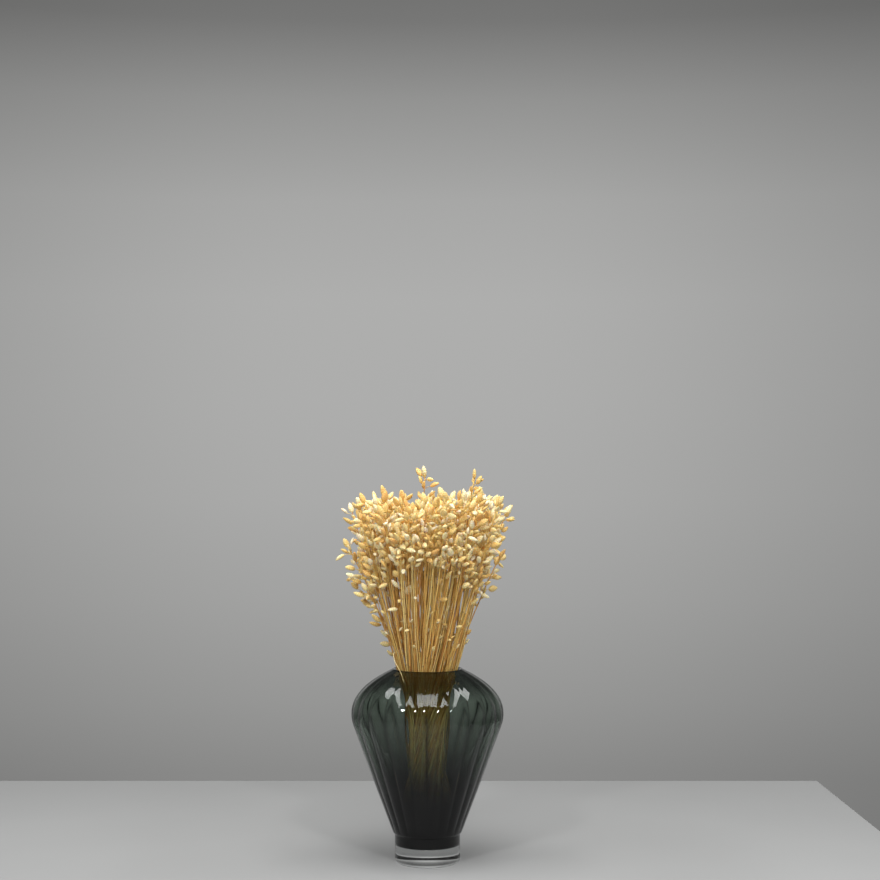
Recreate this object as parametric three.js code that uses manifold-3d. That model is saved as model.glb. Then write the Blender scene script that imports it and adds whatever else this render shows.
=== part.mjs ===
// A vase of dried quaking grass, in millimetres, +Z up, with the origin at the middle of the foot's underside.
// The vase is ribbed smoke-coloured glass on a thick clear foot. It holds a loose bunch of straw culms, each
// forked inside the vase. They twist past each other at a waist, lean out over the rim and carry flat,
// papery, pointed heads.
import * as THREE from "three";
import { mergeVertices } from "three/addons/utils/BufferGeometryUtils.js";
import Module from "manifold-3d";

const wasm = await Module();
wasm.setup();

// Driving dimensions of the vase
const VASE_HEIGHT = 240;
const MOUTH_RADIUS = 39.5;
const LIP_RADIUS = 44;
const BELLY_RADIUS = 95;
const BELLY_HEIGHT = 184;
const CONE_TOP_HEIGHT = 160;
const CONE_TOP_RADIUS = 89;
const FOOT_RADIUS = 40.7;
const FOOT_HEIGHT = 36;
const CLEAR_HEIGHT = 23;
const WALL_AT_MOUTH = 4;
const WALL_AT_BELLY = 4.2;
const WALL_AT_FOOT = 9.5;
const CAVITY_FLOOR = 45;
const FACE_GAP = 0.3;

// Ribs of the vase
const RIBS = 22;
const RIB_DEPTH_SHARE = 0.028;
const RIB_SOFTNESS = 0.16;
const STEPS_PER_RIB = 4;
const CAVITY_STEPS = 36;

// Driving dimensions of the bunch
const SPRAYS = 54;
const WAIST_HEIGHT = 150;
const WAIST_RADIUS = 20;
const SPREAD = 0.34;
const CROWDING = 0.44;
const INWARD_BOW = 9;
const FORK_HEIGHT = 196;
const FORK_SPREAD = 0.03;
const STEM_RADIUS = 1;
const CROWN_HEIGHT = 440;
const CROWN_ROUGHNESS = 24;
const SHORT_SHARE = 0.34;
const SHORT_DROP = 95;
const BOW = 9;

// Heads of the grass
const INNER_HEADS = 3;
const OUTER_HEADS = 4;
const MOST_HEADS = 5;
const INNER_REACH = 0.5;
const OUTWARD_SHARE = 0.65;
const PLACING_TRIES = 12;
const HEAD_LENGTH = 12;
const HEAD_LENGTH_RANGE = 4;
const HEAD_WIDTH_SHARE = 0.56;
const HEAD_DEPTH_SHARE = 0.64;
const STALK_RADIUS = 0.42;
const CLEARANCE = 0.35;

// Branches that stand out of the crown: where each ends
const STRAYS = [
  [-3, -12, 478],
  [58, -24, 476],
  [-52, -34, 454],
  [97, -8, 430],
  [-98, -12, 391],
  [-74, -30, 338],
  [-86, -8, 362],
  [90, 8, 376],
  [-53, 8, 294],
];

const GOLDEN_ANGLE = Math.PI * (3 - Math.sqrt(5));
const UP = new THREE.Vector3(0, 0, 1);

// A repeatable random number from 0 to 1 for any three whole numbers.
function draw(a, b, c) {
  let h = Math.imul(a + 1, 0x9e3779b1) ^ Math.imul(b + 1, 0x85ebca6b) ^ Math.imul(c + 1, 0xc2b2ae35);
  h = Math.imul(h ^ (h >>> 15), 0x2c1b3c6d);
  h = Math.imul(h ^ (h >>> 12), 0x297a2d39);
  return ((h ^ (h >>> 15)) >>> 0) / 4294967296;
}

// A closed three.js geometry as a solid that can be joined or cut.
function solidOf(geometry) {
  const bare = new THREE.BufferGeometry();
  bare.setAttribute("position", geometry.getAttribute("position"));
  bare.setIndex(geometry.index);
  const merged = mergeVertices(bare, 1e-4);
  const mesh = new wasm.Mesh({
    numProp: 3,
    vertProperties: new Float32Array(merged.attributes.position.array),
    triVerts: new Uint32Array(merged.index.array),
  });
  return new wasm.Manifold(mesh);
}

// A solid as a three.js geometry.
function geometryOf(solid) {
  const mesh = solid.getMesh();
  const geometry = new THREE.BufferGeometry();
  geometry.setAttribute("position", new THREE.BufferAttribute(mesh.vertProperties, 3));
  geometry.setIndex(new THREE.BufferAttribute(mesh.triVerts, 1));
  geometry.computeVertexNormals();
  return geometry;
}

// The outside of the smoke glass, from the foot to the lip, as points of radius and height.
function outsideProfile() {
  const shoulder = new THREE.CubicBezierCurve(
    new THREE.Vector2(BELLY_RADIUS, BELLY_HEIGHT),
    new THREE.Vector2(BELLY_RADIUS, BELLY_HEIGHT + 28),
    new THREE.Vector2(66, VASE_HEIGHT - 11),
    new THREE.Vector2(LIP_RADIUS, VASE_HEIGHT - 0.8),
  );
  const turn = new THREE.CubicBezierCurve(
    new THREE.Vector2(CONE_TOP_RADIUS, CONE_TOP_HEIGHT),
    new THREE.Vector2(CONE_TOP_RADIUS + 3.2, CONE_TOP_HEIGHT + 8),
    new THREE.Vector2(BELLY_RADIUS, BELLY_HEIGHT - 9),
    new THREE.Vector2(BELLY_RADIUS, BELLY_HEIGHT),
  );
  const coneFoot = new THREE.Vector2(FOOT_RADIUS + 3, FOOT_HEIGHT + 3);
  const coneMiddle = coneFoot.clone().lerp(new THREE.Vector2(CONE_TOP_RADIUS + 1, CONE_TOP_HEIGHT), 0.5);
  return [
    new THREE.Vector2(FOOT_RADIUS, CLEAR_HEIGHT),
    new THREE.Vector2(FOOT_RADIUS, FOOT_HEIGHT - 0.5),
    new THREE.Vector2(FOOT_RADIUS + 1.8, FOOT_HEIGHT + 0.6),
    coneFoot,
    coneMiddle,
    ...turn.getPoints(2),
    ...shoulder.getPoints(6).slice(1),
    new THREE.Vector2(LIP_RADIUS - 1.3, VASE_HEIGHT),
  ];
}

// The inside of the smoke glass, from the middle of its floor to above the mouth. The wall grows thicker
// towards the foot, as blown glass does.
function cavityProfile() {
  const footWall = FOOT_RADIUS + 6.4 - WALL_AT_FOOT;
  const points = [
    new THREE.Vector2(0, CAVITY_FLOOR),
    new THREE.Vector2(footWall - 9, CAVITY_FLOOR + 1.5),
    new THREE.Vector2(footWall, CAVITY_FLOOR + 9),
  ];
  const outside = outsideProfile().filter((p) => p.y > FOOT_HEIGHT + 20 && p.y < VASE_HEIGHT - 2);
  for (const p of outside) {
    const share = THREE.MathUtils.clamp((p.y - FOOT_HEIGHT) / (BELLY_HEIGHT - FOOT_HEIGHT), 0, 1);
    const wall = THREE.MathUtils.lerp(WALL_AT_FOOT, WALL_AT_BELLY, Math.pow(share, 0.7));
    const lean = Math.max(0, (p.y - BELLY_HEIGHT) / (VASE_HEIGHT - BELLY_HEIGHT));
    points.push(new THREE.Vector2(p.x - wall * (1 - 0.55 * lean), p.y - wall * 0.85 * lean));
  }
  points.push(
    new THREE.Vector2(MOUTH_RADIUS, VASE_HEIGHT - WALL_AT_MOUTH),
    new THREE.Vector2(MOUTH_RADIUS, VASE_HEIGHT - 1),
    new THREE.Vector2(MOUTH_RADIUS + 1.5, VASE_HEIGHT + 0.5),
    new THREE.Vector2(0, VASE_HEIGHT + 0.5),
  );
  return points;
}

// A profile turned about the Z axis.
function turned(points, steps) {
  return new THREE.LatheGeometry(points, steps).rotateX(Math.PI / 2);
}

// How far a rib's valley lies inside its crest at a height: nothing on the foot, and soft at the lip.
function ribDepth(radius, height) {
  const fromFoot = THREE.MathUtils.smoothstep(height, FOOT_HEIGHT + 0.5, FOOT_HEIGHT + 14);
  const toLip = 1 - 0.5 * THREE.MathUtils.smoothstep(height, BELLY_HEIGHT + 30, VASE_HEIGHT);
  return RIB_DEPTH_SHARE * radius * fromFoot * toLip;
}

// The smoke glass: the turned outside pressed into ribs, less the cavity.
function smokeGlass() {
  const profile = [new THREE.Vector2(0, CLEAR_HEIGHT), ...outsideProfile(), new THREE.Vector2(0, VASE_HEIGHT)];
  const outside = turned(profile, RIBS * STEPS_PER_RIB);
  const place = outside.getAttribute("position");
  for (let i = 0; i < place.count; i++) {
    const [x, y, z] = [place.getX(i), place.getY(i), place.getZ(i)];
    const radius = Math.hypot(x, y);
    if (radius < MOUTH_RADIUS) continue;
    const across = Math.sin((RIBS * Math.atan2(y, x)) / 2);
    const crest = Math.sqrt((across * across + RIB_SOFTNESS ** 2) / (1 + RIB_SOFTNESS ** 2));
    const share = 1 - (ribDepth(radius, z) * (1 - crest)) / radius;
    place.setXYZ(i, x * share, y * share, z);
  }
  return solidOf(outside).subtract(solidOf(turned(cavityProfile(), CAVITY_STEPS)));
}

// The clear foot: a thick disc with a ground lower edge.
function clearFoot() {
  const top = CLEAR_HEIGHT - FACE_GAP;
  const profile = [
    new THREE.Vector2(0, 0),
    new THREE.Vector2(FOOT_RADIUS - 1.6, 0),
    new THREE.Vector2(FOOT_RADIUS, 1.6),
    new THREE.Vector2(FOOT_RADIUS, top),
    new THREE.Vector2(0, top),
  ];
  return solidOf(turned(profile, 60));
}

// The inside radius of the vase at a height.
function cavityRadius(height) {
  const points = cavityProfile();
  for (let i = 0; i + 1 < points.length; i++) {
    const [low, high] = [points[i], points[i + 1]];
    if (height >= low.y && height <= high.y && high.y > low.y) {
      return THREE.MathUtils.lerp(low.x, high.x, (height - low.y) / (high.y - low.y));
    }
  }
  return 0;
}

// Corners about a point, square to a direction. wide and deep are the half sizes along two sides.
function ring(point, along, side, wide, deep, corners) {
  const a = side.clone().addScaledVector(along, -side.dot(along)).normalize();
  const b = along.clone().cross(a);
  return Array.from({ length: corners }, (_, c) => {
    const turn = (2 * Math.PI * c) / corners;
    return point
      .clone()
      .addScaledVector(a, wide * Math.cos(turn))
      .addScaledVector(b, deep * Math.sin(turn));
  });
}

// Triangles that fill a ring, facing the way its corners turn about, or the other way.
function cap(corners, reversed) {
  const triangles = [];
  for (let c = 2; c < corners.length; c++) {
    triangles.push(corners[0], corners[reversed ? c : c - 1], corners[reversed ? c - 1 : c]);
  }
  return triangles;
}

// A ring's corners, begun with the one that lies on the same side of its middle as the first corner of the
// ring below, so that the skin between the two doesn't twist.
function untwisted(low, ring) {
  const outwards = (corners) => {
    const middle = corners.reduce((sum, corner) => sum.add(corner), new THREE.Vector3());
    middle.divideScalar(corners.length);
    return corners.map((corner) => corner.clone().sub(middle).normalize());
  };
  const [first] = outwards(low);
  const likeness = outwards(ring).map((direction) => direction.dot(first));
  const start = likeness.indexOf(Math.max(...likeness));
  return [...ring.slice(start), ...ring.slice(0, start)];
}

// Triangles between two rings, which may differ in number of corners. A ring of one corner is a point.
function bridge(low, upper) {
  const triangles = [];
  const high = untwisted(low, upper);
  const highSteps = high.length > 1 ? high.length : 0;
  let [i, j] = [0, 0];
  while (i < low.length || j < highSteps) {
    const corner = low[i % low.length];
    const above = high[j % high.length];
    if (j >= highSteps || (i < low.length && (i + 1) * high.length <= (j + 1) * low.length)) {
      triangles.push(corner, low[(i + 1) % low.length], above);
      i++;
    } else {
      triangles.push(corner, high[(j + 1) % high.length], above);
      j++;
    }
  }
  return triangles;
}

// Triangles of a skin over rings, open at both ends.
function skin(rings) {
  return rings.slice(1).flatMap((high, i) => bridge(rings[i], high));
}

// How far out a culm stands in the bunch, from 0 in the middle to 1.
function reachOf(spray) {
  return Math.pow((spray + 0.5) / SPRAYS, CROWDING);
}

// A culm's centre at a height. All culms turn the same way about the bunch, so none meet.
function culmPoint(spray, height) {
  const reach = reachOf(spray);
  const turn = spray * GOLDEN_ANGLE;
  const rise = SPREAD * (height - WAIST_HEIGHT);
  const x = reach * (WAIST_RADIUS * Math.cos(turn) - rise * Math.sin(turn));
  const y = reach * (WAIST_RADIUS * Math.sin(turn) + rise * Math.cos(turn));
  return new THREE.Vector3(x, y, height);
}

// The height where a culm's cut end rests on the inside of the vase.
function culmFoot(spray) {
  let height = WAIST_HEIGHT;
  while (height > CAVITY_FLOOR + 2) {
    const lower = culmPoint(spray, height - 0.5);
    const room = cavityRadius(lower.z - FACE_GAP);
    if (Math.hypot(lower.x, lower.y) + STEM_RADIUS + FACE_GAP > room) break;
    height = lower.z;
  }
  return height;
}

// The direction in which a culm forks.
function forkSide(spray) {
  const turn = 2 * Math.PI * draw(spray, 0, 1);
  return new THREE.Vector3(Math.cos(turn), Math.sin(turn), 0);
}

// The end of a branch if it grew straight.
function straightEnd(spray, sign, top) {
  const spread = sign * FORK_SPREAD * (top - FORK_HEIGHT);
  return culmPoint(spray, top).addScaledVector(forkSide(spray), spread);
}

// The centres of a branch's rings, from the fork to its end. It bows more the further up it is.
function branchPoints(spray, sign, top, bow) {
  return [0, 0.45, 0.75, 1].map((share) => {
    const height = THREE.MathUtils.lerp(FORK_HEIGHT, top, share);
    return straightEnd(spray, sign, height).addScaledVector(bow, share ** 3);
  });
}

// The point of a branch at a height, on the straight run between two of its rings.
function branchPoint(branch, height) {
  const { points } = branch;
  let i = 1;
  while (i < points.length - 1 && points[i].z < height) i++;
  const share = (height - points[i - 1].z) / (points[i].z - points[i - 1].z);
  return points[i - 1].clone().lerp(points[i], share);
}

// The shortest distance between the segments a to b and c to d.
function segmentDistance(a, b, c, d) {
  const u = b.clone().sub(a);
  const v = d.clone().sub(c);
  const w = a.clone().sub(c);
  const [uu, uv, vv, uw, vw] = [u.dot(u), u.dot(v), v.dot(v), u.dot(w), v.dot(w)];
  const clamp = (t) => Math.min(1, Math.max(0, t));
  const cross = uu * vv - uv * uv;
  const first = cross > 1e-9 ? clamp((uv * vw - vv * uw) / cross) : 0;
  const t = clamp((uv * first + vw) / Math.max(vv, 1e-9));
  const s = clamp((uv * t - uw) / Math.max(uu, 1e-9));
  return w.addScaledVector(u, s).addScaledVector(v, -t).length();
}

// True if a rod keeps clear of every other.
function isClear(rod, others) {
  return others.every((other) => {
    const room = rod.radius + other.radius + CLEARANCE;
    return segmentDistance(rod.from, rod.to, other.from, other.to) > room;
  });
}

// The straight runs of a branch as rods.
function branchRods(plan, points) {
  const { index, spray } = plan;
  return points.slice(1).map((to, run) => {
    return { spray, branch: index, run, from: points[run], to, radius: STEM_RADIUS, body: false };
  });
}

// True if a branch's rod keeps clear of the rods of all others, apart from its twin's at the fork.
function hasRoom(rod, rods) {
  return isClear(rod, rods.filter((other) => other.spray !== rod.spray || (rod.run > 0 && other.run > 0)));
}

// Where every branch ends, with the strays put in place of the branches that grow nearest to them.
function branchPlans() {
  const plans = [];
  for (let spray = 0; spray < SPRAYS; spray++) {
    for (const sign of [1, -1]) {
      const index = plans.length;
      const isShort = draw(index, 2, 1) < SHORT_SHARE * reachOf(spray);
      const drop = isShort ? SHORT_DROP * (0.25 + 0.75 * draw(index, 2, 2)) : 0;
      const top = CROWN_HEIGHT + CROWN_ROUGHNESS * (draw(index, 2, 3) - 0.5) - drop;
      const turn = 2 * Math.PI * draw(index, 1, 1);
      const bow = new THREE.Vector3(Math.cos(turn), Math.sin(turn), 0).multiplyScalar(BOW * draw(index, 1, 2));
      const inward = straightEnd(spray, sign, top).setZ(0).normalize();
      bow.addScaledVector(inward, -INWARD_BOW * reachOf(spray));
      plans.push({ index, spray, sign, top, bow, stray: false });
    }
  }
  for (const [x, y, z] of STRAYS) {
    const end = new THREE.Vector3(x, y, z);
    const gap = (plan) => straightEnd(plan.spray, plan.sign, z).distanceTo(end);
    const free = plans.filter((plan) => !plan.stray);
    const nearest = free.reduce((best, plan) => (gap(plan) < gap(best) ? plan : best));
    nearest.top = z;
    nearest.bow = end.sub(straightEnd(nearest.spray, nearest.sign, z));
    nearest.stray = true;
  }
  return plans;
}

// The bows that a branch may take, in order: its own, less of it, and then others, ever further out.
function bowChoices(plan) {
  const choices = [1, 0.6, 0.3].map((share) => plan.bow.clone().multiplyScalar(share));
  for (let i = 0; i < 16; i++) {
    const turn = plan.index + i * GOLDEN_ANGLE;
    const bow = BOW * (0.3 + 0.1 * i);
    choices.push(new THREE.Vector3(bow * Math.cos(turn), bow * Math.sin(turn), 0));
  }
  return choices;
}

// Every branch, with the first of its bows that keeps it clear of the branches before it.
function growBranches() {
  const rods = [];
  const branches = [];
  const plans = branchPlans();
  for (const plan of [...plans.filter((p) => p.stray), ...plans.filter((p) => !p.stray)]) {
    const { index, spray, sign, top } = plan;
    for (const bow of bowChoices(plan)) {
      const points = branchPoints(spray, sign, top, bow);
      const own = branchRods(plan, points);
      if (!own.every((rod) => hasRoom(rod, rods))) continue;
      const isShort = top < CROWN_HEIGHT - CROWN_ROUGHNESS || plan.stray;
      const panicle = (isShort ? 42 : 66) + 26 * draw(index, 2, 4);
      const outerCount = index % 3 === 0 || plan.stray ? MOST_HEADS : OUTER_HEADS;
      const count = reachOf(spray) < INNER_REACH ? INNER_HEADS : outerCount;
      branches.push({ index, spray, sign, top, points, panicle, count });
      rods.push(...own);
      break;
    }
  }
  branches.sort((one, other) => one.index - other.index);
  return { branches, rods };
}

// A proposed head: where its stalk leaves the branch, where it ends, and its direction and size.
function proposeHead(branch, k, attempt) {
  const r = (c) => draw(branch.index, 10 + 16 * k + attempt, c);
  const down = k === 0 ? 0 : (k - 0.85 + 0.7 * r(1)) / (branch.count - 0.5);
  const height = branch.top - branch.panicle * down;
  const root = branchPoint(branch, height);
  const along = branchPoint(branch, height - 1).sub(root).normalize().negate();
  const isOutward = reachOf(branch.spray) > INNER_REACH && r(10) < OUTWARD_SHARE;
  const random = k * GOLDEN_ANGLE + 2 * Math.PI * draw(branch.index, 3, 1) + attempt;
  const turn = isOutward ? Math.atan2(root.y, root.x) + 2.6 * (r(2) - 0.5) : random;
  const tilt = k === 0 ? 0.1 + 0.3 * r(3) : 0.45 + 0.6 * r(3) + 0.25 * down;
  const outward = new THREE.Vector3(Math.cos(turn), Math.sin(turn), 0);
  outward.addScaledVector(along, -outward.dot(along)).normalize();
  const away = along.clone().multiplyScalar(Math.cos(tilt)).addScaledVector(outward, Math.sin(tilt));
  const length = HEAD_LENGTH + HEAD_LENGTH_RANGE * r(4);
  const neck = root.clone().addScaledVector(away, k === 0 ? 0 : 4.5 + 6.5 * r(5));
  const lift = r(6) < 0.72 ? 0.55 * r(7) : -0.8 * r(7);
  const facing = away.clone().addScaledVector(UP, k === 0 ? 0 : lift).normalize();
  const side = new THREE.Vector3(Math.cos(9 * r(8)), Math.sin(9 * r(8)), 0.35);
  const wide = (length * HEAD_WIDTH_SHARE * (0.85 + 0.3 * r(9))) / 2;
  return { branch, k, root, away, neck, facing, side, length, wide, deep: wide * HEAD_DEPTH_SHARE };
}

// A head's body and, below the end of the branch, its stalk, as rods.
function headRods(head) {
  const point = (share) => head.neck.clone().addScaledVector(head.facing, share * head.length);
  const branch = head.branch.index;
  const rods = [{ branch, from: point(0.2), to: point(0.75), radius: 0.9 * head.wide, body: true }];
  if (head.k > 0) rods.push({ branch, from: head.root, to: head.neck, radius: STALK_RADIUS, body: false });
  return rods;
}

// True if a head can grow: it touches nothing but its own branch, and its body not even that, unless it
// is the branch's end.
function canGrow(head, rods, taken) {
  return rods.every((rod) => {
    const others = taken.filter((other) => {
      return other.branch !== rod.branch || other.body || (rod.body && head.k > 0);
    });
    return isClear(rod, others);
  });
}

// Every head. Each round gives each branch one more, where the first free try lies.
function growHeads(branches, taken) {
  const heads = [];
  for (let k = 0; k < MOST_HEADS; k++) {
    for (const branch of branches.filter((one) => k < one.count)) {
      for (let attempt = 0; attempt < PLACING_TRIES; attempt++) {
        const head = proposeHead(branch, k, attempt);
        const rods = headRods(head);
        if (!canGrow(head, rods, taken)) continue;
        heads.push(head);
        taken.push(...rods);
        break;
      }
    }
  }
  return heads;
}

// The rings of a head's body, from its widest place to its pointed tip.
function bodyRings(head) {
  const { neck, facing, side, length, wide, deep } = head;
  const at = (share) => neck.clone().addScaledVector(facing, share * length);
  return [ring(at(0.4), facing, side, wide, deep, 4), [at(1)]];
}

// A culm's solid: a four-sided rod that splits along its middle into two three-sided branches, each of
// which ends in a head.
function culmSolid(spray, branches, heads) {
  const side = forkSide(spray);
  const level = (height) => ring(culmPoint(spray, height), UP, side, STEM_RADIUS, STEM_RADIUS, 4);
  const [foot, fork] = [level(culmFoot(spray)), level(FORK_HEIGHT)];
  const triangles = [...cap(foot, true), ...skin([foot, fork])];
  for (const branch of branches) {
    const start = branch.sign > 0 ? [fork[0], fork[1], fork[3]] : [fork[2], fork[3], fork[1]];
    const outward = side.clone().multiplyScalar(branch.sign);
    const rings = branch.points.slice(1).map((point, i) => {
      const radius = STEM_RADIUS * (i === 2 ? 0.8 : 1);
      return ring(point, UP, outward, radius, radius, 3);
    });
    const head = heads.find((other) => other.branch === branch && other.k === 0);
    const end = head ? bodyRings(head) : [];
    triangles.push(...skin([start, ...rings, ...end]));
    if (!head) triangles.push(...cap(rings.at(-1), false));
  }
  return solidOf(new THREE.BufferGeometry().setFromPoints(triangles));
}

// A side head's solid: a thin stalk that opens into a flat, pointed body.
function headSolid(head) {
  const { root, away, neck, facing, side } = head;
  const bend = away.clone().add(facing).normalize();
  const start = ring(root, away, side, STALK_RADIUS, STALK_RADIUS, 3);
  const rings = [start, ring(neck, bend, side, STALK_RADIUS, STALK_RADIUS, 3), ...bodyRings(head)];
  return solidOf(new THREE.BufferGeometry().setFromPoints([...cap(start, true), ...skin(rings)]));
}

const smoke = new THREE.MeshStandardMaterial({
  color: 0x3b4442,
  roughness: 0.04,
  metalness: 0,
  transparent: true,
  opacity: 0.7,
});
const clear = new THREE.MeshStandardMaterial({
  color: 0xe4e9e8,
  roughness: 0.03,
  metalness: 0,
  transparent: true,
  opacity: 0.3,
});
const straw = new THREE.MeshStandardMaterial({ color: 0xd9b67a, roughness: 0.7, metalness: 0 });

// A culm with one more head, or without it where the two don't grow into one body.
function joined(culm, head) {
  const sum = culm.add(head);
  return sum.decompose().length === 1 ? sum : culm;
}

// A named mesh of a solid.
function piece(name, solid, material) {
  const mesh = new THREE.Mesh(geometryOf(solid), material);
  mesh.name = name;
  return mesh;
}

const vase = new THREE.Group();
vase.add(piece("smoke_glass_body", smokeGlass(), smoke));
vase.add(piece("clear_glass_foot", clearFoot(), clear));

const bunch = new THREE.Group();
const { branches, rods } = growBranches();
const heads = growHeads(branches, rods);
for (let spray = 0; spray < SPRAYS; spray++) {
  const ownHeads = heads.filter((head) => head.branch.spray === spray);
  const ownBranches = branches.filter((branch) => branch.spray === spray);
  const culm = culmSolid(spray, ownBranches, ownHeads);
  const sideHeads = ownHeads.filter((head) => head.k > 0).map(headSolid);
  const whole = sideHeads.reduce(joined, culm);
  bunch.add(piece("grass_spray_" + String(spray + 1).padStart(2, "0"), whole, straw));
}

const object = new THREE.Group();
object.add(vase, bunch);
export default object;
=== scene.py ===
import logging
import math
from dataclasses import dataclass, field
from enum import Enum

import bpy
import numpy as np
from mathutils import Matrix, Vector


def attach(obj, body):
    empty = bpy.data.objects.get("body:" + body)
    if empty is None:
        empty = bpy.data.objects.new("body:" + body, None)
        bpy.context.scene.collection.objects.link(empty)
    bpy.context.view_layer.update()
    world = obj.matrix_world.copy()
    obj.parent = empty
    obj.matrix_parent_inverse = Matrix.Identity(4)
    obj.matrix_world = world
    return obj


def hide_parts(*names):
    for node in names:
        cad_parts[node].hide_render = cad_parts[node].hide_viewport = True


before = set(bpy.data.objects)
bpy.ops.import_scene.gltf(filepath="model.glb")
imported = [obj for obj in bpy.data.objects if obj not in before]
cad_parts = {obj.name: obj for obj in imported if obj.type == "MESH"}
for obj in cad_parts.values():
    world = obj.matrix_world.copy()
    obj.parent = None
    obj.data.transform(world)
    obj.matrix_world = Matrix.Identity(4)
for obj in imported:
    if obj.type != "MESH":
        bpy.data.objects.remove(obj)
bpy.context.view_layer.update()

MM = 0.001
BODY = "root"
GOLDEN_ANGLE = math.pi * (3 - math.sqrt(5))
UP = np.array([0.0, 0.0, 1.0])
WHITE = (1.0, 1.0, 1.0, 1.0)
LOG = logging.getLogger("quaking_grass_vase")


class Slot(Enum):
    """The record's material slots that pieces take their finish from."""

    SMOKE = "smoke_glass"
    CLEAR = "clear_glass"
    STRAW = "straw"


class HeadKind(Enum):
    """Where a head grows: at a branch's end, along it, low on the stem, or in the gaps between others."""

    END = 0
    SIDE = 1
    FILLING = 2
    LOW = 3


def draw(a: int, b: int, c: int) -> float:
    """Mix three whole numbers into a repeatable random number.

    Each number times an odd constant, joined by exclusive or, then stirred twice by shift and product.

    Args:
        a: First number, such as a branch's.
        b: Second number, such as a head's.
        c: Third number, such as that of the property.

    Returns:
        A number from 0 to 1.
    """
    mask = 0xFFFFFFFF
    h = (((a + 1) * 0x9E3779B1) ^ ((b + 1) * 0x85EBCA6B) ^ ((c + 1) * 0xC2B2AE35)) & mask
    h = ((h ^ (h >> 15)) * 0x2C1B3C6D) & mask
    h = ((h ^ (h >> 12)) * 0x297A2D39) & mask
    return (h ^ (h >> 15)) / 4294967296


def unit(vectors: np.ndarray) -> np.ndarray:
    """Scale vectors along the last axis to length one."""
    return vectors / np.maximum(np.linalg.norm(vectors, axis=-1, keepdims=True), 1e-12)


def square_to(vectors: np.ndarray, along: np.ndarray) -> np.ndarray:
    """Take away from vectors what lies along unit vectors, and scale the rest to length one."""
    return unit(vectors - (vectors * along).sum(-1, keepdims=True) * along)


def heading(turn: float) -> np.ndarray:
    """The level direction at an angle round the Z axis, from +X."""
    return np.array([math.cos(turn), math.sin(turn), 0.0])


def smoothstep(x: np.ndarray | float, low: float, high: float) -> np.ndarray | float:
    """Rise smoothly from 0 at low to 1 at high, as 3 t squared less 2 t cubed."""
    t = np.clip((x - low) / (high - low), 0, 1)
    return t * t * (3 - 2 * t)


def bezier(corners: list[tuple[float, float]], shares: np.ndarray) -> np.ndarray:
    """Points of a cubic Bezier curve: the four corners weighted by the Bernstein polynomials of each share.

    Args:
        corners: The curve's four corners.
        shares: How far along the curve each point lies, from 0 to 1.

    Returns:
        One row for each share.
    """
    t = shares[:, None]
    weights = np.hstack([(1 - t) ** 3, 3 * t * (1 - t) ** 2, 3 * t * t * (1 - t), t**3])
    return weights @ np.asarray(corners, float)


def linear(red: int, green: int, blue: int) -> tuple[float, float, float, float]:
    """Turn a colour of 0 to 255 on a screen into the linear colour that a shader takes."""
    screen = np.array([red, green, blue]) / 255
    values = np.where(screen <= 0.04045, screen / 12.92, ((screen + 0.055) / 1.055) ** 2.4)
    return (*values.tolist(), 1.0)


@dataclass
class Skin:
    """Closed surfaces in millimetres, with a value for each point under each attribute's name."""

    points: np.ndarray
    quads: np.ndarray
    triangles: np.ndarray
    values: dict[str, np.ndarray] = field(default_factory=dict)

    def with_values(self, **values: np.ndarray | float) -> "Skin":
        """Set attributes, each one value for all points or one for each."""
        for name, value in values.items():
            self.values[name] = np.broadcast_to(np.asarray(value, float), len(self.points)).copy()
        return self

    @staticmethod
    def joined(skins: list["Skin"]) -> "Skin":
        """Put several surfaces in one.

        Args:
            skins: The surfaces. An attribute that one of them lacks is 0 there.

        Returns:
            The surface that holds them all.
        """
        starts = np.cumsum([0] + [len(skin.points) for skin in skins[:-1]])
        names = sorted({name for skin in skins for name in skin.values})
        return Skin(
            np.concatenate([skin.points for skin in skins]),
            np.concatenate([skin.quads + start for skin, start in zip(skins, starts)]),
            np.concatenate([skin.triangles + start for skin, start in zip(skins, starts)]),
            {
                name: np.concatenate([skin.values.get(name, np.zeros(len(skin.points))) for skin in skins])
                for name in names
            },
        )


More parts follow.
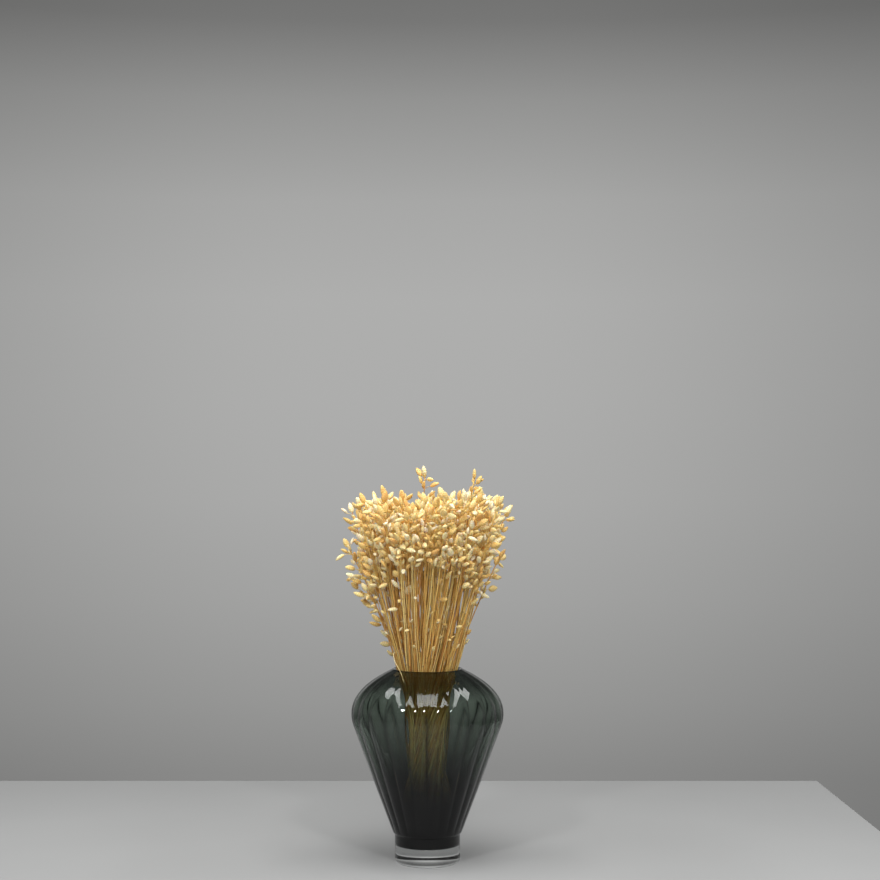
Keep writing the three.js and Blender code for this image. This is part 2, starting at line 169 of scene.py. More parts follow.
def loft(
    centres: np.ndarray, across: np.ndarray, deep: np.ndarray, ends: np.ndarray, swell: np.ndarray
) -> Skin:
    """Stretch skins over rings, each skin closed by a pole at both ends.

    A ring's point at an angle is its centre, plus swell times across times the cosine, plus swell times deep
    times the sine. Rings that follow each other are joined by four-sided faces.

    Args:
        centres: Middle of each ring, by skin, ring and coordinate.
        across: Half-axis of each ring at angle 0, in the same shape.
        deep: Half-axis of each ring at a quarter turn, in the same shape.
        ends: The two poles of each skin, by skin, end and coordinate.
        swell: Factor on the half-axes, by skin (or 1 for all), ring and corner.

    Returns:
        The skins, with the attributes along, from 0 to 1 over the rings, and lateral, the angle's cosine.
    """
    count, rings, _ = centres.shape
    corners = swell.shape[-1]
    turn = 2 * np.pi * np.arange(corners) / corners
    spoke = across[:, :, None] * np.cos(turn)[:, None] + deep[:, :, None] * np.sin(turn)[:, None]
    points = (centres[:, :, None] + swell[..., None] * spoke).reshape(count, rings * corners, 3)
    points = np.concatenate([points, ends], axis=1)
    corner = np.arange(corners)
    after = (corner + 1) % corners
    first = (np.arange(rings - 1) * corners)[:, None]
    quads = np.stack([first + corner, first + after, first + after + corners, first + corner + corners], -1)
    last = (rings - 1) * corners
    low = np.stack([np.full(corners, rings * corners), after, corner], -1)
    high = np.stack([last + corner, last + after, np.full(corners, rings * corners + 1)], -1)
    starts = np.arange(count)[:, None, None] * points.shape[1]
    along = np.repeat(np.linspace(0, 1, rings), corners)
    return Skin(
        points.reshape(-1, 3),
        (quads.reshape(-1, 4) + starts).reshape(-1, 4),
        (np.concatenate([low, high]) + starts).reshape(-1, 3),
        {
            "along": np.tile(np.r_[along, 0, 1], count),
            "lateral": np.tile(np.r_[np.tile(np.cos(turn), rings), 0, 0], count),
        },
    )


def tubes(centres: np.ndarray, radii: np.ndarray, side: np.ndarray, corners: int) -> Skin:
    """Carry round sections along curves. A ring stands square to the line from the point before to the next.

    Args:
        centres: The curves' points, by tube, ring and coordinate.
        radii: Radius, by tube and ring.
        side: A direction for each tube, in which its first corner lies.
        corners: Corners of a ring.

    Returns:
        The tubes with flat ends.
    """
    along = unit(np.gradient(centres, axis=1))
    across = square_to(np.broadcast_to(side[:, None], centres.shape), along)
    deep = np.cross(along, across)
    swell = np.ones((1, centres.shape[1], corners))
    return loft(centres, across * radii[..., None], deep * radii[..., None], centres[:, [0, -1]], swell)


def make_piece(name: str, skin: Skin, material: bpy.types.Material) -> bpy.types.Object:
    """Write a skin into a mesh object at the origin, in metres, smooth shaded.

    Args:
        name: The object's name.
        skin: The surface, in millimetres.
        material: Its finish.

    Returns:
        The object, linked to the scene.
    """
    mesh = bpy.data.meshes.new(name)
    corners = np.concatenate([skin.quads.ravel(), skin.triangles.ravel()]).astype(np.int32)
    quad_starts = np.arange(len(skin.quads)) * 4
    triangle_starts = skin.quads.size + np.arange(len(skin.triangles)) * 3
    starts = np.concatenate([quad_starts, triangle_starts]).astype(np.int32)
    mesh.vertices.add(len(skin.points))
    mesh.vertices.foreach_set("co", (skin.points * MM).astype(np.float32).ravel())
    mesh.loops.add(len(corners))
    mesh.loops.foreach_set("vertex_index", corners)
    mesh.polygons.add(len(starts))
    mesh.polygons.foreach_set("loop_start", starts)
    mesh.polygons.foreach_set("use_smooth", np.ones(len(starts), bool))
    mesh.update(calc_edges=True)
    for key, value in skin.values.items():
        mesh.attributes.new(key, "FLOAT", "POINT").data.foreach_set("value", value.astype(np.float32))
    mesh.materials.append(material)
    made = bpy.data.objects.new(name, mesh)
    bpy.context.scene.collection.objects.link(made)
    return made


def place(piece: bpy.types.Object, slot: Slot, *nodes: str) -> None:
    """Ride a piece on the part's body, and let it stand for frame nodes.

    Args:
        piece: The object.
        slot: The material slot that its finish belongs to; not used.
        nodes: The frame nodes that it replaces, if any.
    """
    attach(piece, BODY)
    if nodes:
        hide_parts(*nodes)
    LOG.info("%s: %d faces%s", piece.name, len(piece.data.polygons), " for " + nodes[0] if nodes else "")


class Shader:
    """A node tree under construction, with an output at its end."""

    def __init__(self, owner: bpy.types.Material | bpy.types.World, output: str) -> None:
        """Empty the owner's node tree and give it an output node of the named kind."""
        owner.use_nodes = True
        self.tree = owner.node_tree
        self.tree.nodes.clear()
        self.output = self.tree.nodes.new(output)

    def add(self, kind: str, inputs: dict | None = None, **settings: object) -> bpy.types.Node:
        """Add a node.

        Args:
            kind: Blender's name of the node's type, without ShaderNode.
            inputs: A value, or another node's output socket, for each input by name or number.
            settings: The node's own properties.

        Returns:
            The node.
        """
        node = self.tree.nodes.new("ShaderNode" + kind)
        for name, value in settings.items():
            setattr(node, name, value)
        for name, value in (inputs or {}).items():
            if isinstance(value, bpy.types.NodeSocket):
                self.tree.links.new(value, node.inputs[name])
            else:
                node.inputs[name].default_value = value
        return node

    def math(self, operation: str, *values: object) -> bpy.types.NodeSocket:
        """Work out a sum, product or other operation on numbers or sockets."""
        return self.add("Math", dict(enumerate(values)), operation=operation).outputs[0]

    def blend(self, share: object, one: object, other: object, mode: str = "MIX") -> bpy.types.NodeSocket:
        """Mix two colours by a share of the second, in a blending mode."""
        inputs = {0: share, 6: one, 7: other}
        return self.add("Mix", inputs, data_type="RGBA", blend_type=mode).outputs[2]

    def ramp(self, share: bpy.types.NodeSocket, stops: dict[float, tuple]) -> bpy.types.NodeSocket:
        """Turn a number into a colour.

        Args:
            share: The number, from 0 to 1.
            stops: The colour at each place from 0 to 1.

        Returns:
            The colour's socket.
        """
        node = self.add("ValToRGB", {0: share})
        elements = node.color_ramp.elements
        while len(elements) < len(stops):
            elements.new(0.5)
        for element, (position, colour) in zip(elements, sorted(stops.items())):
            element.position = position
            element.color = colour
        return node.outputs[0]

    def value(self, name: str) -> bpy.types.NodeSocket:
        """Read a named attribute of the mesh as a number."""
        return self.add("Attribute", attribute_name=name).outputs["Fac"]

    def noise(self, scale: float) -> bpy.types.NodeSocket:
        """Noise on the object's own coordinates, scale patches to a metre."""
        where = self.add("TexCoord").outputs["Object"]
        return self.add("TexNoise", {"Vector": where, "Scale": scale}).outputs[0]

    def fitted(
        self,
        number: bpy.types.NodeSocket,
        source: tuple[float, float],
        target: tuple[float, float] = (0.0, 1.0),
        is_smooth: bool = False,
    ) -> bpy.types.NodeSocket:
        """Stretch a range of numbers over another and hold what lies outside it at its ends.

        Args:
            number: The number.
            source: The range's ends.
            target: The ends of the other range.
            is_smooth: True for a smooth rise in place of an even one.

        Returns:
            The stretched number's socket.
        """
        kind = "SMOOTHSTEP" if is_smooth else "LINEAR"
        inputs = {0: number, 1: source[0], 2: source[1], 3: target[0], 4: target[1]}
        return self.add("MapRange", inputs, interpolation_type=kind).outputs[0]

    def lit_through(self, surface: bpy.types.NodeSocket, colour: object) -> bpy.types.NodeSocket:
        """Let the light of lamps straight through glass, so that it reaches what stands behind it.

        Args:
            surface: The glass.
            colour: What a passage through its surface leaves of the light.

        Returns:
            The glass for all rays but those from lamps.
        """
        is_from_lamp = self.add("LightPath").outputs["Is Shadow Ray"]
        passage = self.add("BsdfTransparent", {"Color": colour}).outputs[0]
        return self.add("MixShader", {0: is_from_lamp, 1: surface, 2: passage}).outputs[0]

    def finish(self, socket_name: str, result: bpy.types.NodeSocket) -> None:
        """Connect a result to the output."""
        self.tree.links.new(result, self.output.inputs[socket_name])


@dataclass(frozen=True)
class Glass:
    """Polished glass: clear transmission at the surface, and a tint that absorbs by depth."""

    name: str
    ior: float
    roughness: float
    reflection: float
    density: float
    tint: tuple[float, float, float, float]

    def start(self) -> tuple[bpy.types.Material, Shader]:
        """Make an empty material and the node tree that it is built in."""
        made = bpy.data.materials.new(self.name)
        return made, Shader(made, "ShaderNodeOutputMaterial")

    def fill(self, shader: Shader, colour: bpy.types.NodeSocket, passage: bpy.types.NodeSocket) -> None:
        """Connect the glass's surface and depth to the output.

        Args:
            shader: The node tree.
            colour: What the surface leaves of the light that is seen through it.
            passage: What it leaves of the light that comes straight from lamps.
        """
        surface = shader.add(
            "BsdfPrincipled",
            {
                "Base Color": colour,
                "Roughness": self.roughness,
                "IOR": self.ior,
                "Specular Tint": (self.reflection,) * 3 + (1.0,),
                "Transmission Weight": 1.0,
            },
        )
        shader.finish("Surface", shader.lit_through(surface.outputs[0], passage))
        depth = shader.add("VolumeAbsorption", {"Color": self.tint, "Density": self.density})
        shader.finish("Volume", depth.outputs[0])


@dataclass(frozen=True)
class SmokeGlass(Glass):
    """Smoke-coloured glass, a grey green that deepens towards the foot and a little under the lip.

    The clearness is listed by height in millimetres.
    """

    name: str = "smoke_glass"
    ior: float = 1.46
    roughness: float = 0.015
    reflection: float = 0.68
    density: float = 220.0
    tint: tuple[float, float, float, float] = (0.20, 0.33, 0.225, 1.0)
    lamp_share: float = 0.62
    groove_shade: float = 0.95
    streaks_to_a_metre: float = 14.0
    streak_height: float = 20.0
    clearness: tuple[tuple[float, float], ...] = (
        (40, 0.02),
        (85, 0.03),
        (104, 0.1),
        (120, 0.28),
        (137, 0.56),
        (165, 0.86),
        (200, 1.0),
        (218, 0.9),
        (230, 0.52),
        (240, 0.4),
    )

    def material(self) -> bpy.types.Material:
        """Make the material.

        The surface's clearness follows the height of the object's coordinates, which blown streaks shift a
        little. A painted shade darkens the grooves between the ribs, by a mesh attribute strongest there.

        Returns:
            The material.
        """
        made, shader = self.start()
        where = shader.add("TexCoord").outputs["Object"]
        height = shader.add("SeparateXYZ", {0: where}).outputs["Z"]
        streak = shader.math("MULTIPLY", shader.noise(self.streaks_to_a_metre), self.streak_height * MM)
        low, high = self.clearness[0][0], self.clearness[-1][0]
        share = shader.fitted(shader.math("ADD", height, streak), (low * MM, high * MM))
        colour = shader.ramp(share, {(z - low) / (high - low): (k, k, k, 1.0) for z, k in self.clearness})
        # Painted shade: darken the glass's colour in the grooves between the ribs, by the mask attribute.
        shade = shader.math("MULTIPLY", shader.value("groove"), self.groove_shade)
        colour = shader.blend(1.0, colour, shader.math("SUBTRACT", 1.0, shade), "MULTIPLY")
        passage = shader.blend(1.0, colour, (self.lamp_share,) * 3 + (1.0,), "MULTIPLY")
        self.fill(shader, colour, passage)
        return made


@dataclass(frozen=True)
class ClearGlass(Glass):
    """Clear glass with a faint, uneven grey cast."""

    name: str = "clear_glass"
    ior: float = 1.5
    roughness: float = 0.008
    reflection: float = 1.0
    density: float = 2.0
    tint: tuple[float, float, float, float] = (0.78, 0.86, 0.84, 1.0)
    cast: tuple[float, float, float, float] = (0.97, 0.98, 0.98, 1.0)
    patches_to_a_metre: float = 30.0

    def material(self) -> bpy.types.Material:
        """Make the material, with a surface that varies from the cast to white."""
        made, shader = self.start()
        cast = shader.ramp(shader.noise(self.patches_to_a_metre), {0.0: self.cast, 1.0: WHITE})
        self.fill(shader, cast, cast)
        return made


@dataclass(frozen=True)
class DriedGrass:
    """Dry, matt, papery grass: golden stems, cream heads, some of them pinkish white or brown.

    Colours are listed by tone, as 0 to 255 on a screen.
    """

    name: str = "dried_grass"
    head_colours: tuple[tuple[float, tuple[int, int, int]], ...] = (
        (0.0, (228, 184, 110)),
        (0.16, (238, 202, 124)),
        (0.4, (244, 218, 146)),
        (0.66, (248, 230, 170)),
        (0.86, (251, 240, 198)),
        (1.0, (250, 238, 214)),
    )
    stem_colours: tuple[tuple[float, tuple[int, int, int]], ...] = (
        (0.0, (176, 118, 48)),
        (0.3, (222, 168, 82)),
        (0.7, (244, 206, 120)),
        (1.0, (250, 224, 154)),
    )
    # Colour of the painted shade at each scale's foot, where the scale below overlaps it.
    scale_foot_painted_shade: tuple[int, int, int] = (240, 216, 172)
    joint: tuple[int, int, int] = (120, 80, 40)
    joint_share: float = 0.65
    patches_to_a_metre: float = 160.0
    grains_to_a_metre: float = 1400.0
    scales_a_side: float = 5.0
    scale_pull: float = 0.45
    shaded_share: float = 0.55
    veins: float = 26.0
    vein_height: float = 0.12
    relief: float = 0.5
    relief_height: float = 0.00035
    roughness: tuple[float, float] = (0.52, 0.74)
    grain_light: tuple[float, float] = (0.9, 1.06)
    tone_range: float = 0.5

    def rise(
        self, shader: Shader, along: bpy.types.NodeSocket, lateral: bpy.types.NodeSocket
    ) -> bpy.types.NodeSocket:
        """How far up its scale a place on a head lies, from 0 to 1.

        Scales are a sawtooth of along, half a step apart on both sides of the middle line, and pulled back
        towards the edges.

        Args:
            shader: The node tree.
            along: The share of the head's length.
            lateral: The place across the head, from -1 to 1.

        Returns:
            The share's socket.
        """
        half_step = shader.math("MULTIPLY", shader.math("GREATER_THAN", lateral, 0.0), 0.5)
        pull = shader.math("MULTIPLY", shader.math("ABSOLUTE", lateral), -self.scale_pull)
        steps = shader.math("MULTIPLY_ADD", along, self.scales_a_side, shader.math("ADD", half_step, pull))
        above_zero = shader.math("ADD", steps, 4.0)
        return shader.math("FRACT", above_zero)

    def material(self) -> bpy.types.Material:
        """Make the material from the mesh's attributes.

        The colour follows tone, husk tells heads from stems, and joint darkens a stem's nodes. Each scale is
        darker at its foot, a painted shade where the scale below overlaps it. Fine veins are a wave of
        lateral.

        Returns:
            The material.
        """
        made = bpy.data.materials.new(self.name)
        shader = Shader(made, "ShaderNodeOutputMaterial")
        husk = shader.value("husk")
        lateral = shader.value("lateral")
        patches = shader.noise(self.patches_to_a_metre)
        grain = shader.noise(self.grains_to_a_metre)
        even_tone = shader.math("SUBTRACT", shader.value("tone"), self.tone_range / 2)
        tone = shader.math("MULTIPLY_ADD", patches, self.tone_range, even_tone)
        head_colour = shader.ramp(tone, {at: linear(*colour) for at, colour in self.head_colours})
        stem_colour = shader.ramp(tone, {at: linear(*colour) for at, colour in self.stem_colours})
        rise = self.rise(shader, shader.value("along"), lateral)
        # Painted shade: each scale darkens towards its foot, where the scale below overlaps it.
        shade = shader.fitted(rise, (0.0, self.shaded_share), is_smooth=True)
        shaded = shader.ramp(shade, {0.0: linear(*self.scale_foot_painted_shade), 1.0: WHITE})
        colour = shader.blend(husk, stem_colour, shader.blend(1.0, head_colour, shaded, "MULTIPLY"))
        colour = shader.blend(1.0, colour, shader.fitted(grain, (0.3, 0.7), self.grain_light), "MULTIPLY")
        joint_share = shader.math("MULTIPLY", shader.value("joint"), self.joint_share)
        colour = shader.blend(joint_share, colour, linear(*self.joint))
        veins = shader.math("SINE", shader.math("MULTIPLY", lateral, self.veins))
        coarse = shader.math("ADD", shader.math("MULTIPLY", rise, husk), grain)
        height = shader.math("MULTIPLY_ADD", veins, self.vein_height, coarse)
        relief = {"Strength": self.relief, "Distance": self.relief_height, "Height": height}
        bump = shader.add("Bump", relief)
        surface = shader.add(
            "BsdfPrincipled",
            {
                "Base Color": colour,
                "Roughness": shader.fitted(patches, (0.2, 0.8), self.roughness),
                "Normal": bump.outputs[0],
                "Subsurface Weight": 0.35,
                "Subsurface Radius": (1.0, 0.75, 0.45),
                "Subsurface Scale": 0.003,
                "Sheen Weight": 0.12,
            },
        )
        shader.finish("Surface", surface.outputs[0])
        return made


@dataclass(frozen=True)
class PaleLaminate:
    """The table's matt pale laminate."""

    name: str = "pale_laminate"
    colour: tuple[float, float, float, float] = (0.352, 0.355, 0.353, 1.0)
    patches_to_a_metre: float = 3.0
    grains_to_a_metre: float = 900.0
    grain_height: float = 0.0002
    relief: float = 0.05
    light: tuple[float, float] = (0.96, 1.04)

    def material(self) -> bpy.types.Material:
        """Make the material: a grey that varies a little, with a fine even grain."""
        made = bpy.data.materials.new(self.name)
        shader = Shader(made, "ShaderNodeOutputMaterial")
        cast = shader.fitted(shader.noise(self.patches_to_a_metre), (0.2, 0.8), self.light)
        colour = shader.blend(1.0, self.colour, cast, "MULTIPLY")
        grain = shader.noise(self.grains_to_a_metre)
        bump = shader.add("Bump", {"Strength": self.relief, "Distance": self.grain_height, "Height": grain})
        surface = shader.add(
            "BsdfPrincipled",
            {"Base Color": colour, "Roughness": 0.5, "Normal": bump.outputs[0], "Specular IOR Level": 0.35},
        )
        shader.finish("Surface", surface.outputs[0])
        return made


@dataclass(frozen=True)
class Vase:
    """The glass vase: its sizes in millimetres, its two pieces and their finishes."""

    height: float = 240.0
    mouth_radius: float = 39.5
    lip_radius: float = 44.0
    belly_radius: float = 95.0
    belly_height: float = 184.0
    cone_top_height: float = 160.0
    cone_top_radius: float = 89.0
    shoulder_pull: float = 28.0
    shoulder_corner: tuple[float, float] = (66.0, 229.0)
    lip_outside_drop: float = 0.8
    lip_rise: float = 0.25
    lip_inset: float = 0.5
    mouth_flare: float = 0.4
    lip_inside_drop: float = 2.0
    foot_radius: float = 40.7
    foot_height: float = 36.0
    clear_height: float = 23.0
    collar_levels: tuple[float, ...] = (25.0, 30.0, 34.4)
    step_curve: tuple[tuple[float, float], ...] = ((0.0, 35.2), (0.4, 36.4), (2.2, 36.6))
    cone_step: float = 3.0
    cone_bulge: float = 1.0
    turn_pull: tuple[float, float] = (3.2, 8.0)
    belly_pull: float = 9.0
    wall_at_mouth: float = 4.0
    wall_at_belly: float = 4.2
    wall_at_foot: float = 9.5
    wall_power: float = 0.7
    cavity_foot_gap: float = 6.4
    shoulder_thinning: tuple[float, float] = (0.55, 0.85)
    cavity_floor: float = 45.0
    floor_middle: tuple[tuple[float, float], ...] = ((0, 0), (12, 0.1), (22, 0.6))
    floor_edge: tuple[tuple[float, float], ...] = ((-9, 1.5), (-4.6, 3.4), (-1.6, 6.2), (0, 9))
    neck: tuple[tuple[float, float], ...] = ((0.5, -0.9), (0, 0.4), (0, 2))
    seam_overlap: float = 0.04
    ribs: int = 22
    rib_depth_share: float = 0.024
    rib_softness: float = 0.04
    shoulder_softness: float = 0.45
    rib_flatness: float = 0.64
    rib_start: tuple[float, float] = (0.5, 14.0)
    rib_share_at_lip: float = 0.5
    lip_zone: float = 34.0
    shoulder_gain: float = 0.25
    shoulder_zone: float = 25.0
    inner_share: float = 0.9
    free_heights: tuple[float, float] = (64.0, 92.0)
    free_radii: tuple[float, float] = (41.0, 54.0)
    rounding_zone: tuple[float, float] = (2.0, 26.0)
    groove_power: float = 2.0
    groove_zone: float = 20.0
    shoulder_groove_loss: float = 0.7
    steps_per_rib: int = 16
    foot_steps: int = 160
    foot_edge: float = 4.6
    foot_edge_bend: float = 2.0
    foot_hollow: float = 2.2
    hollow_curve: tuple[tuple[float, float], ...] = ((0.0, 1.0), (0.35, 0.9), (0.62, 0.6))
    standing_ring: tuple[tuple[float, float], ...] = ((8.0, 0.44), (6.4, 0.02), (5.6, 0.0))
    side_heights: tuple[float, float] = (6.0, 14.0)
    smoke: SmokeGlass = SmokeGlass()
    clear: ClearGlass = ClearGlass()

    def outside(self) -> np.ndarray:
        """Trace the outside of the smoke glass from the foot to the lip, as radius and height.

        The collar is straight and turns in a small curve into the cone. The cone has two nearly straight
        runs. Two Bezier curves make the turn below the belly and the shoulder.

        Returns:
            One row for each ring.
        """
        foot = self.foot_radius
        cone_foot = np.array([foot + self.cone_step, self.foot_height + self.cone_step])
        cone_top = np.array([self.cone_top_radius, self.cone_top_height])
        cone_middle = (cone_foot + cone_top + [self.cone_bulge, 0]) / 2
        belly = (self.belly_radius, self.belly_height)
        collar = np.array([[foot, z] for z in (self.clear_height, *self.collar_levels)])
        step_corners = [(foot + out, z) for out, z in self.step_curve] + [tuple(cone_foot)]
        step = bezier(step_corners, np.linspace(0, 1, 7))
        low = cone_foot + (cone_middle - cone_foot) * np.linspace(0, 1, 16)[1:, None]
        high = cone_middle + (cone_top - cone_middle) * np.linspace(0, 1, 12)[1:-1, None]
        turn_corners = [tuple(cone_top), tuple(cone_top + self.turn_pull)]
        turn_corners += [(belly[0], belly[1] - self.belly_pull), belly]
        turn = bezier(turn_corners, np.linspace(0, 1, 9))
        lip = (self.lip_radius, self.height - self.lip_outside_drop)
        shoulder_corners = [belly, (belly[0], belly[1] + self.shoulder_pull), self.shoulder_corner, lip]
        shoulder = bezier(shoulder_corners, np.linspace(0, 1, 25))[1:]
        return np.concatenate([collar, step, low, high, turn, shoulder])

    def cavity(self) -> np.ndarray:
        """Trace the inside of the glass from the middle of its floor to the lip, as radius and height.

        It is the outside less a wall whose thickness falls from the foot to the belly by a power of the
        height, and leans in with the shoulder.

        Returns:
            One row for each ring, the first on the axis.
        """
        wall_foot = self.foot_radius + self.cavity_foot_gap - self.wall_at_foot
        middle = (self.foot_height + self.cone_step + self.cone_top_height) / 2
        outside = self.outside()
        is_beside = (outside[:, 1] > middle - 1) & (outside[:, 1] < self.height - self.wall_at_mouth - 0.4)
        radius, height = outside[is_beside].T
        share = np.clip((height - self.foot_height) / (self.belly_height - self.foot_height), 0, 1)
        wall = self.wall_at_foot + (self.wall_at_belly - self.wall_at_foot) * share**self.wall_power
        lean = np.maximum(0, (height - self.belly_height) / (self.height - self.belly_height))
        inwards, downwards = self.shoulder_thinning
        upper = np.stack([radius - wall * (1 - inwards * lean), height - wall * downwards * lean], -1)
        upper = upper[upper[:, 0] > self.mouth_radius + 1.5]
        bottom = [(radius, self.cavity_floor + rise) for radius, rise in self.floor_middle]
        bottom += [(wall_foot + out, self.cavity_floor + rise) for out, rise in self.floor_edge]
        bottom = np.array(bottom)
        cone = bottom[-1] + (upper[0] - bottom[-1]) * np.linspace(0, 1, 10)[1:-1, None]
        top = self.height - self.wall_at_mouth
        neck = [(self.mouth_radius + out, top + rise) for out, rise in self.neck]
        return np.concatenate([bottom, cone, upper, np.array(neck)])

    def rib_depth(self, radius: np.ndarray, height: np.ndarray) -> np.ndarray:
        """How far a rib's valley lies inside its crest.

        It is a share of the radius, which is nothing on the foot, more on the shoulder and less at the lip.

        Args:
            radius: The outside's radius at each ring.
            height: The rings' heights.

        Returns:
            The depth at each ring.
        """
        start, end = (self.foot_height + rise for rise in self.rib_start)
        from_foot = smoothstep(height, start, end)
        near_lip = smoothstep(height, self.belly_height + self.lip_zone, self.height)
        on_shoulder = smoothstep(height, self.belly_height, self.belly_height + self.shoulder_zone)
        factor = (1 + self.shoulder_gain * on_shoulder) * (1 - (1 - self.rib_share_at_lip) * near_lip)
        return self.rib_depth_share * radius * from_foot * factor

    def inside_radius(self, height: np.ndarray | float) -> np.ndarray | float:
        """The cavity's radius at a height."""
        radius, level = self.cavity().T
        return np.interp(height, level, radius)

    def turned(self, profile: np.ndarray, steps: int, swell: np.ndarray | None = None) -> Skin:
        """Turn a profile about the Z axis.

        Args:
            profile: Radius and height of each ring. The first and last lie on the axis and become poles.
            steps: Corners of a ring.
            swell: Factor on the radius, by ring and corner, or None for round rings.

        Returns:
            The closed skin.
        """
        rings = profile[1:-1]
        zero = np.zeros(len(rings))
        centres = np.stack([zero, zero, rings[:, 1]], -1)[None]
        across = np.stack([rings[:, 0], zero, zero], -1)[None]
        deep = np.stack([zero, rings[:, 0], zero], -1)[None]
        ends = np.array([[[0, 0, profile[0, 1]], [0, 0, profile[-1, 1]]]], float)
        factor = np.ones((len(rings), steps)) if swell is None else swell
        return loft(centres, across, deep, ends, factor[None])

    def smoke_skin(self) -> Skin:
        """Make the ribbed body: outside and cavity in one closed profile.

        The ribs are pressed into the outside, and the cavity follows them where no stem comes near it. A rib
        is a softened absolute cosine of half the rib count times the angle, raised to the flatness, which
        leaves narrow valleys between broad crests, and rounder ones on the shoulder. A mesh attribute,
        strongest in the valleys, is the mask of the painted shade that darkens them.

        Returns:
            The closed skin.
        """
        outside = self.outside()
        top = self.height + self.lip_rise
        over = [(self.lip_radius - self.lip_inset, top), (self.mouth_radius + self.mouth_flare, top)]
        lip_corners = [tuple(outside[-1]), *over, (self.mouth_radius, self.height - self.lip_inside_drop)]
        lip = bezier(lip_corners, np.linspace(0, 1, 11))[1:]
        cavity = self.cavity()[::-1]
        profile = np.concatenate([[[0, self.clear_height]], outside, lip, cavity])
        steps = self.ribs * self.steps_per_rib
        angle = 2 * np.pi * np.arange(steps) / steps
        wave = np.cos(self.ribs * angle / 2) ** 2
        radius, height = profile[1:-1].T
        first, last = (self.belly_height + rise for rise in self.rounding_zone)
        rounding = smoothstep(height, first, last)[:, None]
        softness = self.rib_softness + (self.shoulder_softness - self.rib_softness) * rounding
        crest = ((wave + softness**2) / (1 + softness**2)) ** (self.rib_flatness / 2)
        is_outer = np.arange(len(radius)) < len(outside) + len(lip) // 2
        free = smoothstep(height, *self.free_heights) * smoothstep(radius, *self.free_radii)
        pressed = np.where(is_outer, 1.0, self.inner_share * free)
        swell = 1 - (pressed * self.rib_depth(radius, height) / radius)[:, None] * (1 - crest)
        # Mask of the painted shade in the valleys: none on the foot, and less on the rounder shoulder.
        from_foot = smoothstep(height, self.foot_height, self.foot_height + self.groove_zone)
        loss = self.shoulder_groove_loss * rounding
        groove = ((pressed * from_foot)[:, None] * (1 - crest) ** self.groove_power * (1 - loss)).ravel()
        return self.turned(profile, steps, swell).with_values(groove=np.r_[groove, 0, 0])

    def foot_skin(self) -> Skin:
        """Make the clear foot, a thick disc with a rounded lower edge and a slightly hollow underside.

        Returns:
            The closed skin.
        """
        radius = self.foot_radius
        top = self.clear_height + self.seam_overlap
        bend = self.foot_edge_bend
        edge_corners = [(radius - self.foot_edge, 0), (radius - bend, 0), (radius, bend)]
        edge = bezier([*edge_corners, (radius, self.foot_edge)], np.linspace(0, 1, 13))
        low = [(radius * out, self.foot_hollow * rise) for out, rise in self.hollow_curve]
        low += [(radius - inset, z) for inset, z in self.standing_ring]
        side = [(radius, z) for z in (*self.side_heights, top - 0.6)]
        side += [(radius - 0.02, top), (radius * 0.6, top), (0, top)]
        profile = np.concatenate([np.array(low), edge, np.array(side)])
        return self.turned(profile, self.foot_steps)

    def build(self) -> None:
        """Make the body and the foot in place of their frame nodes."""
        body = make_piece("ribbed_smoke_glass", self.smoke_skin(), self.smoke.material())
        place(body, Slot.SMOKE, "smoke_glass_body")
        foot = make_piece("clear_glass_disc", self.foot_skin(), self.clear.material())
        place(foot, Slot.CLEAR, "clear_glass_foot")


@dataclass(frozen=True)
class HeadHabit:
    """How heads leave a branch, in millimetres and radians. Pairs are the least value and what is added.

    The width is a factor on the rule's share of the length.
    """

    first_draw: int
    first_tone: int
    outward_share: float
    outward_range: float
    end_tilt: tuple[float, float]
    side_tilt: tuple[float, float]
    tilt_below: float
    stalk: tuple[float, float]
    rising_share: float
    most_rise: float
    most_fall: float
    length: tuple[float, float]
    width: tuple[float, float] = (0.85, 0.3)

    def number(self, index: int, k: int, attempt: int, c: int) -> float:
        """The random number of a try at a branch's head, for a property."""
        return draw(index, self.first_draw + 16 * k + attempt, c)


@dataclass(frozen=True)
class GrowthRule:
    """The rule by which the bunch grows, in millimetres, the same as that of the frame's grass nodes."""

    sprays: int = 54
    waist_height: float = 150.0
    waist_radius: float = 20.0
    spread: float = 0.34
    crowding: float = 0.44
    inward_bow: float = 9.0
    fork_height: float = 196.0
    fork_spread: float = 0.03
    stem_radius: float = 1.0
    crown_height: float = 440.0
    crown_roughness: float = 24.0
    short_share: float = 0.34
    short_drop: float = 95.0
    drop_range: tuple[float, float] = (0.25, 0.75)
    bow: float = 9.0
    less_bow: tuple[float, float, float] = (1, 0.6, 0.3)
    other_bows: int = 16
    other_bow: tuple[float, float] = (0.3, 0.1)
    ring_shares: tuple[float, float, float, float] = (0, 0.45, 0.75, 1)
    inner_heads: int = 3
    outer_heads: int = 4
    most_heads: int = 5
    inner_reach: float = 0.5
    short_panicle: float = 42.0
    long_panicle: float = 66.0
    panicle_range: float = 26.0
    placing_tries: int = 12
    habit: HeadHabit = HeadHabit(
        first_draw=10,
        first_tone=700,
        outward_share=0.65,
        outward_range=2.6,
        end_tilt=(0.1, 0.3),
        side_tilt=(0.45, 0.6),
        tilt_below=0.25,
        stalk=(4.5, 6.5),
        rising_share=0.72,
        most_rise=0.55,
        most_fall=0.8,
        length=(12.0, 4.0),
    )
    head_width_share: float = 0.56
    head_depth_share: float = 0.64
    step_share: tuple[float, float] = (-0.85, 0.7)
    last_step: float = 0.5
    stalk_radius: float = 0.42
    clearance: float = 0.35
    face_gap: float = 0.3
    strays: tuple[tuple[float, float, float], ...] = (
        (-3, -12, 478),
        (58, -24, 476),
        (-52, -34, 454),
        (97, -8, 430),
        (-98, -12, 391),
        (-74, -30, 338),
        (-86, -8, 362),
        (90, 8, 376),
        (-53, 8, 294),
    )


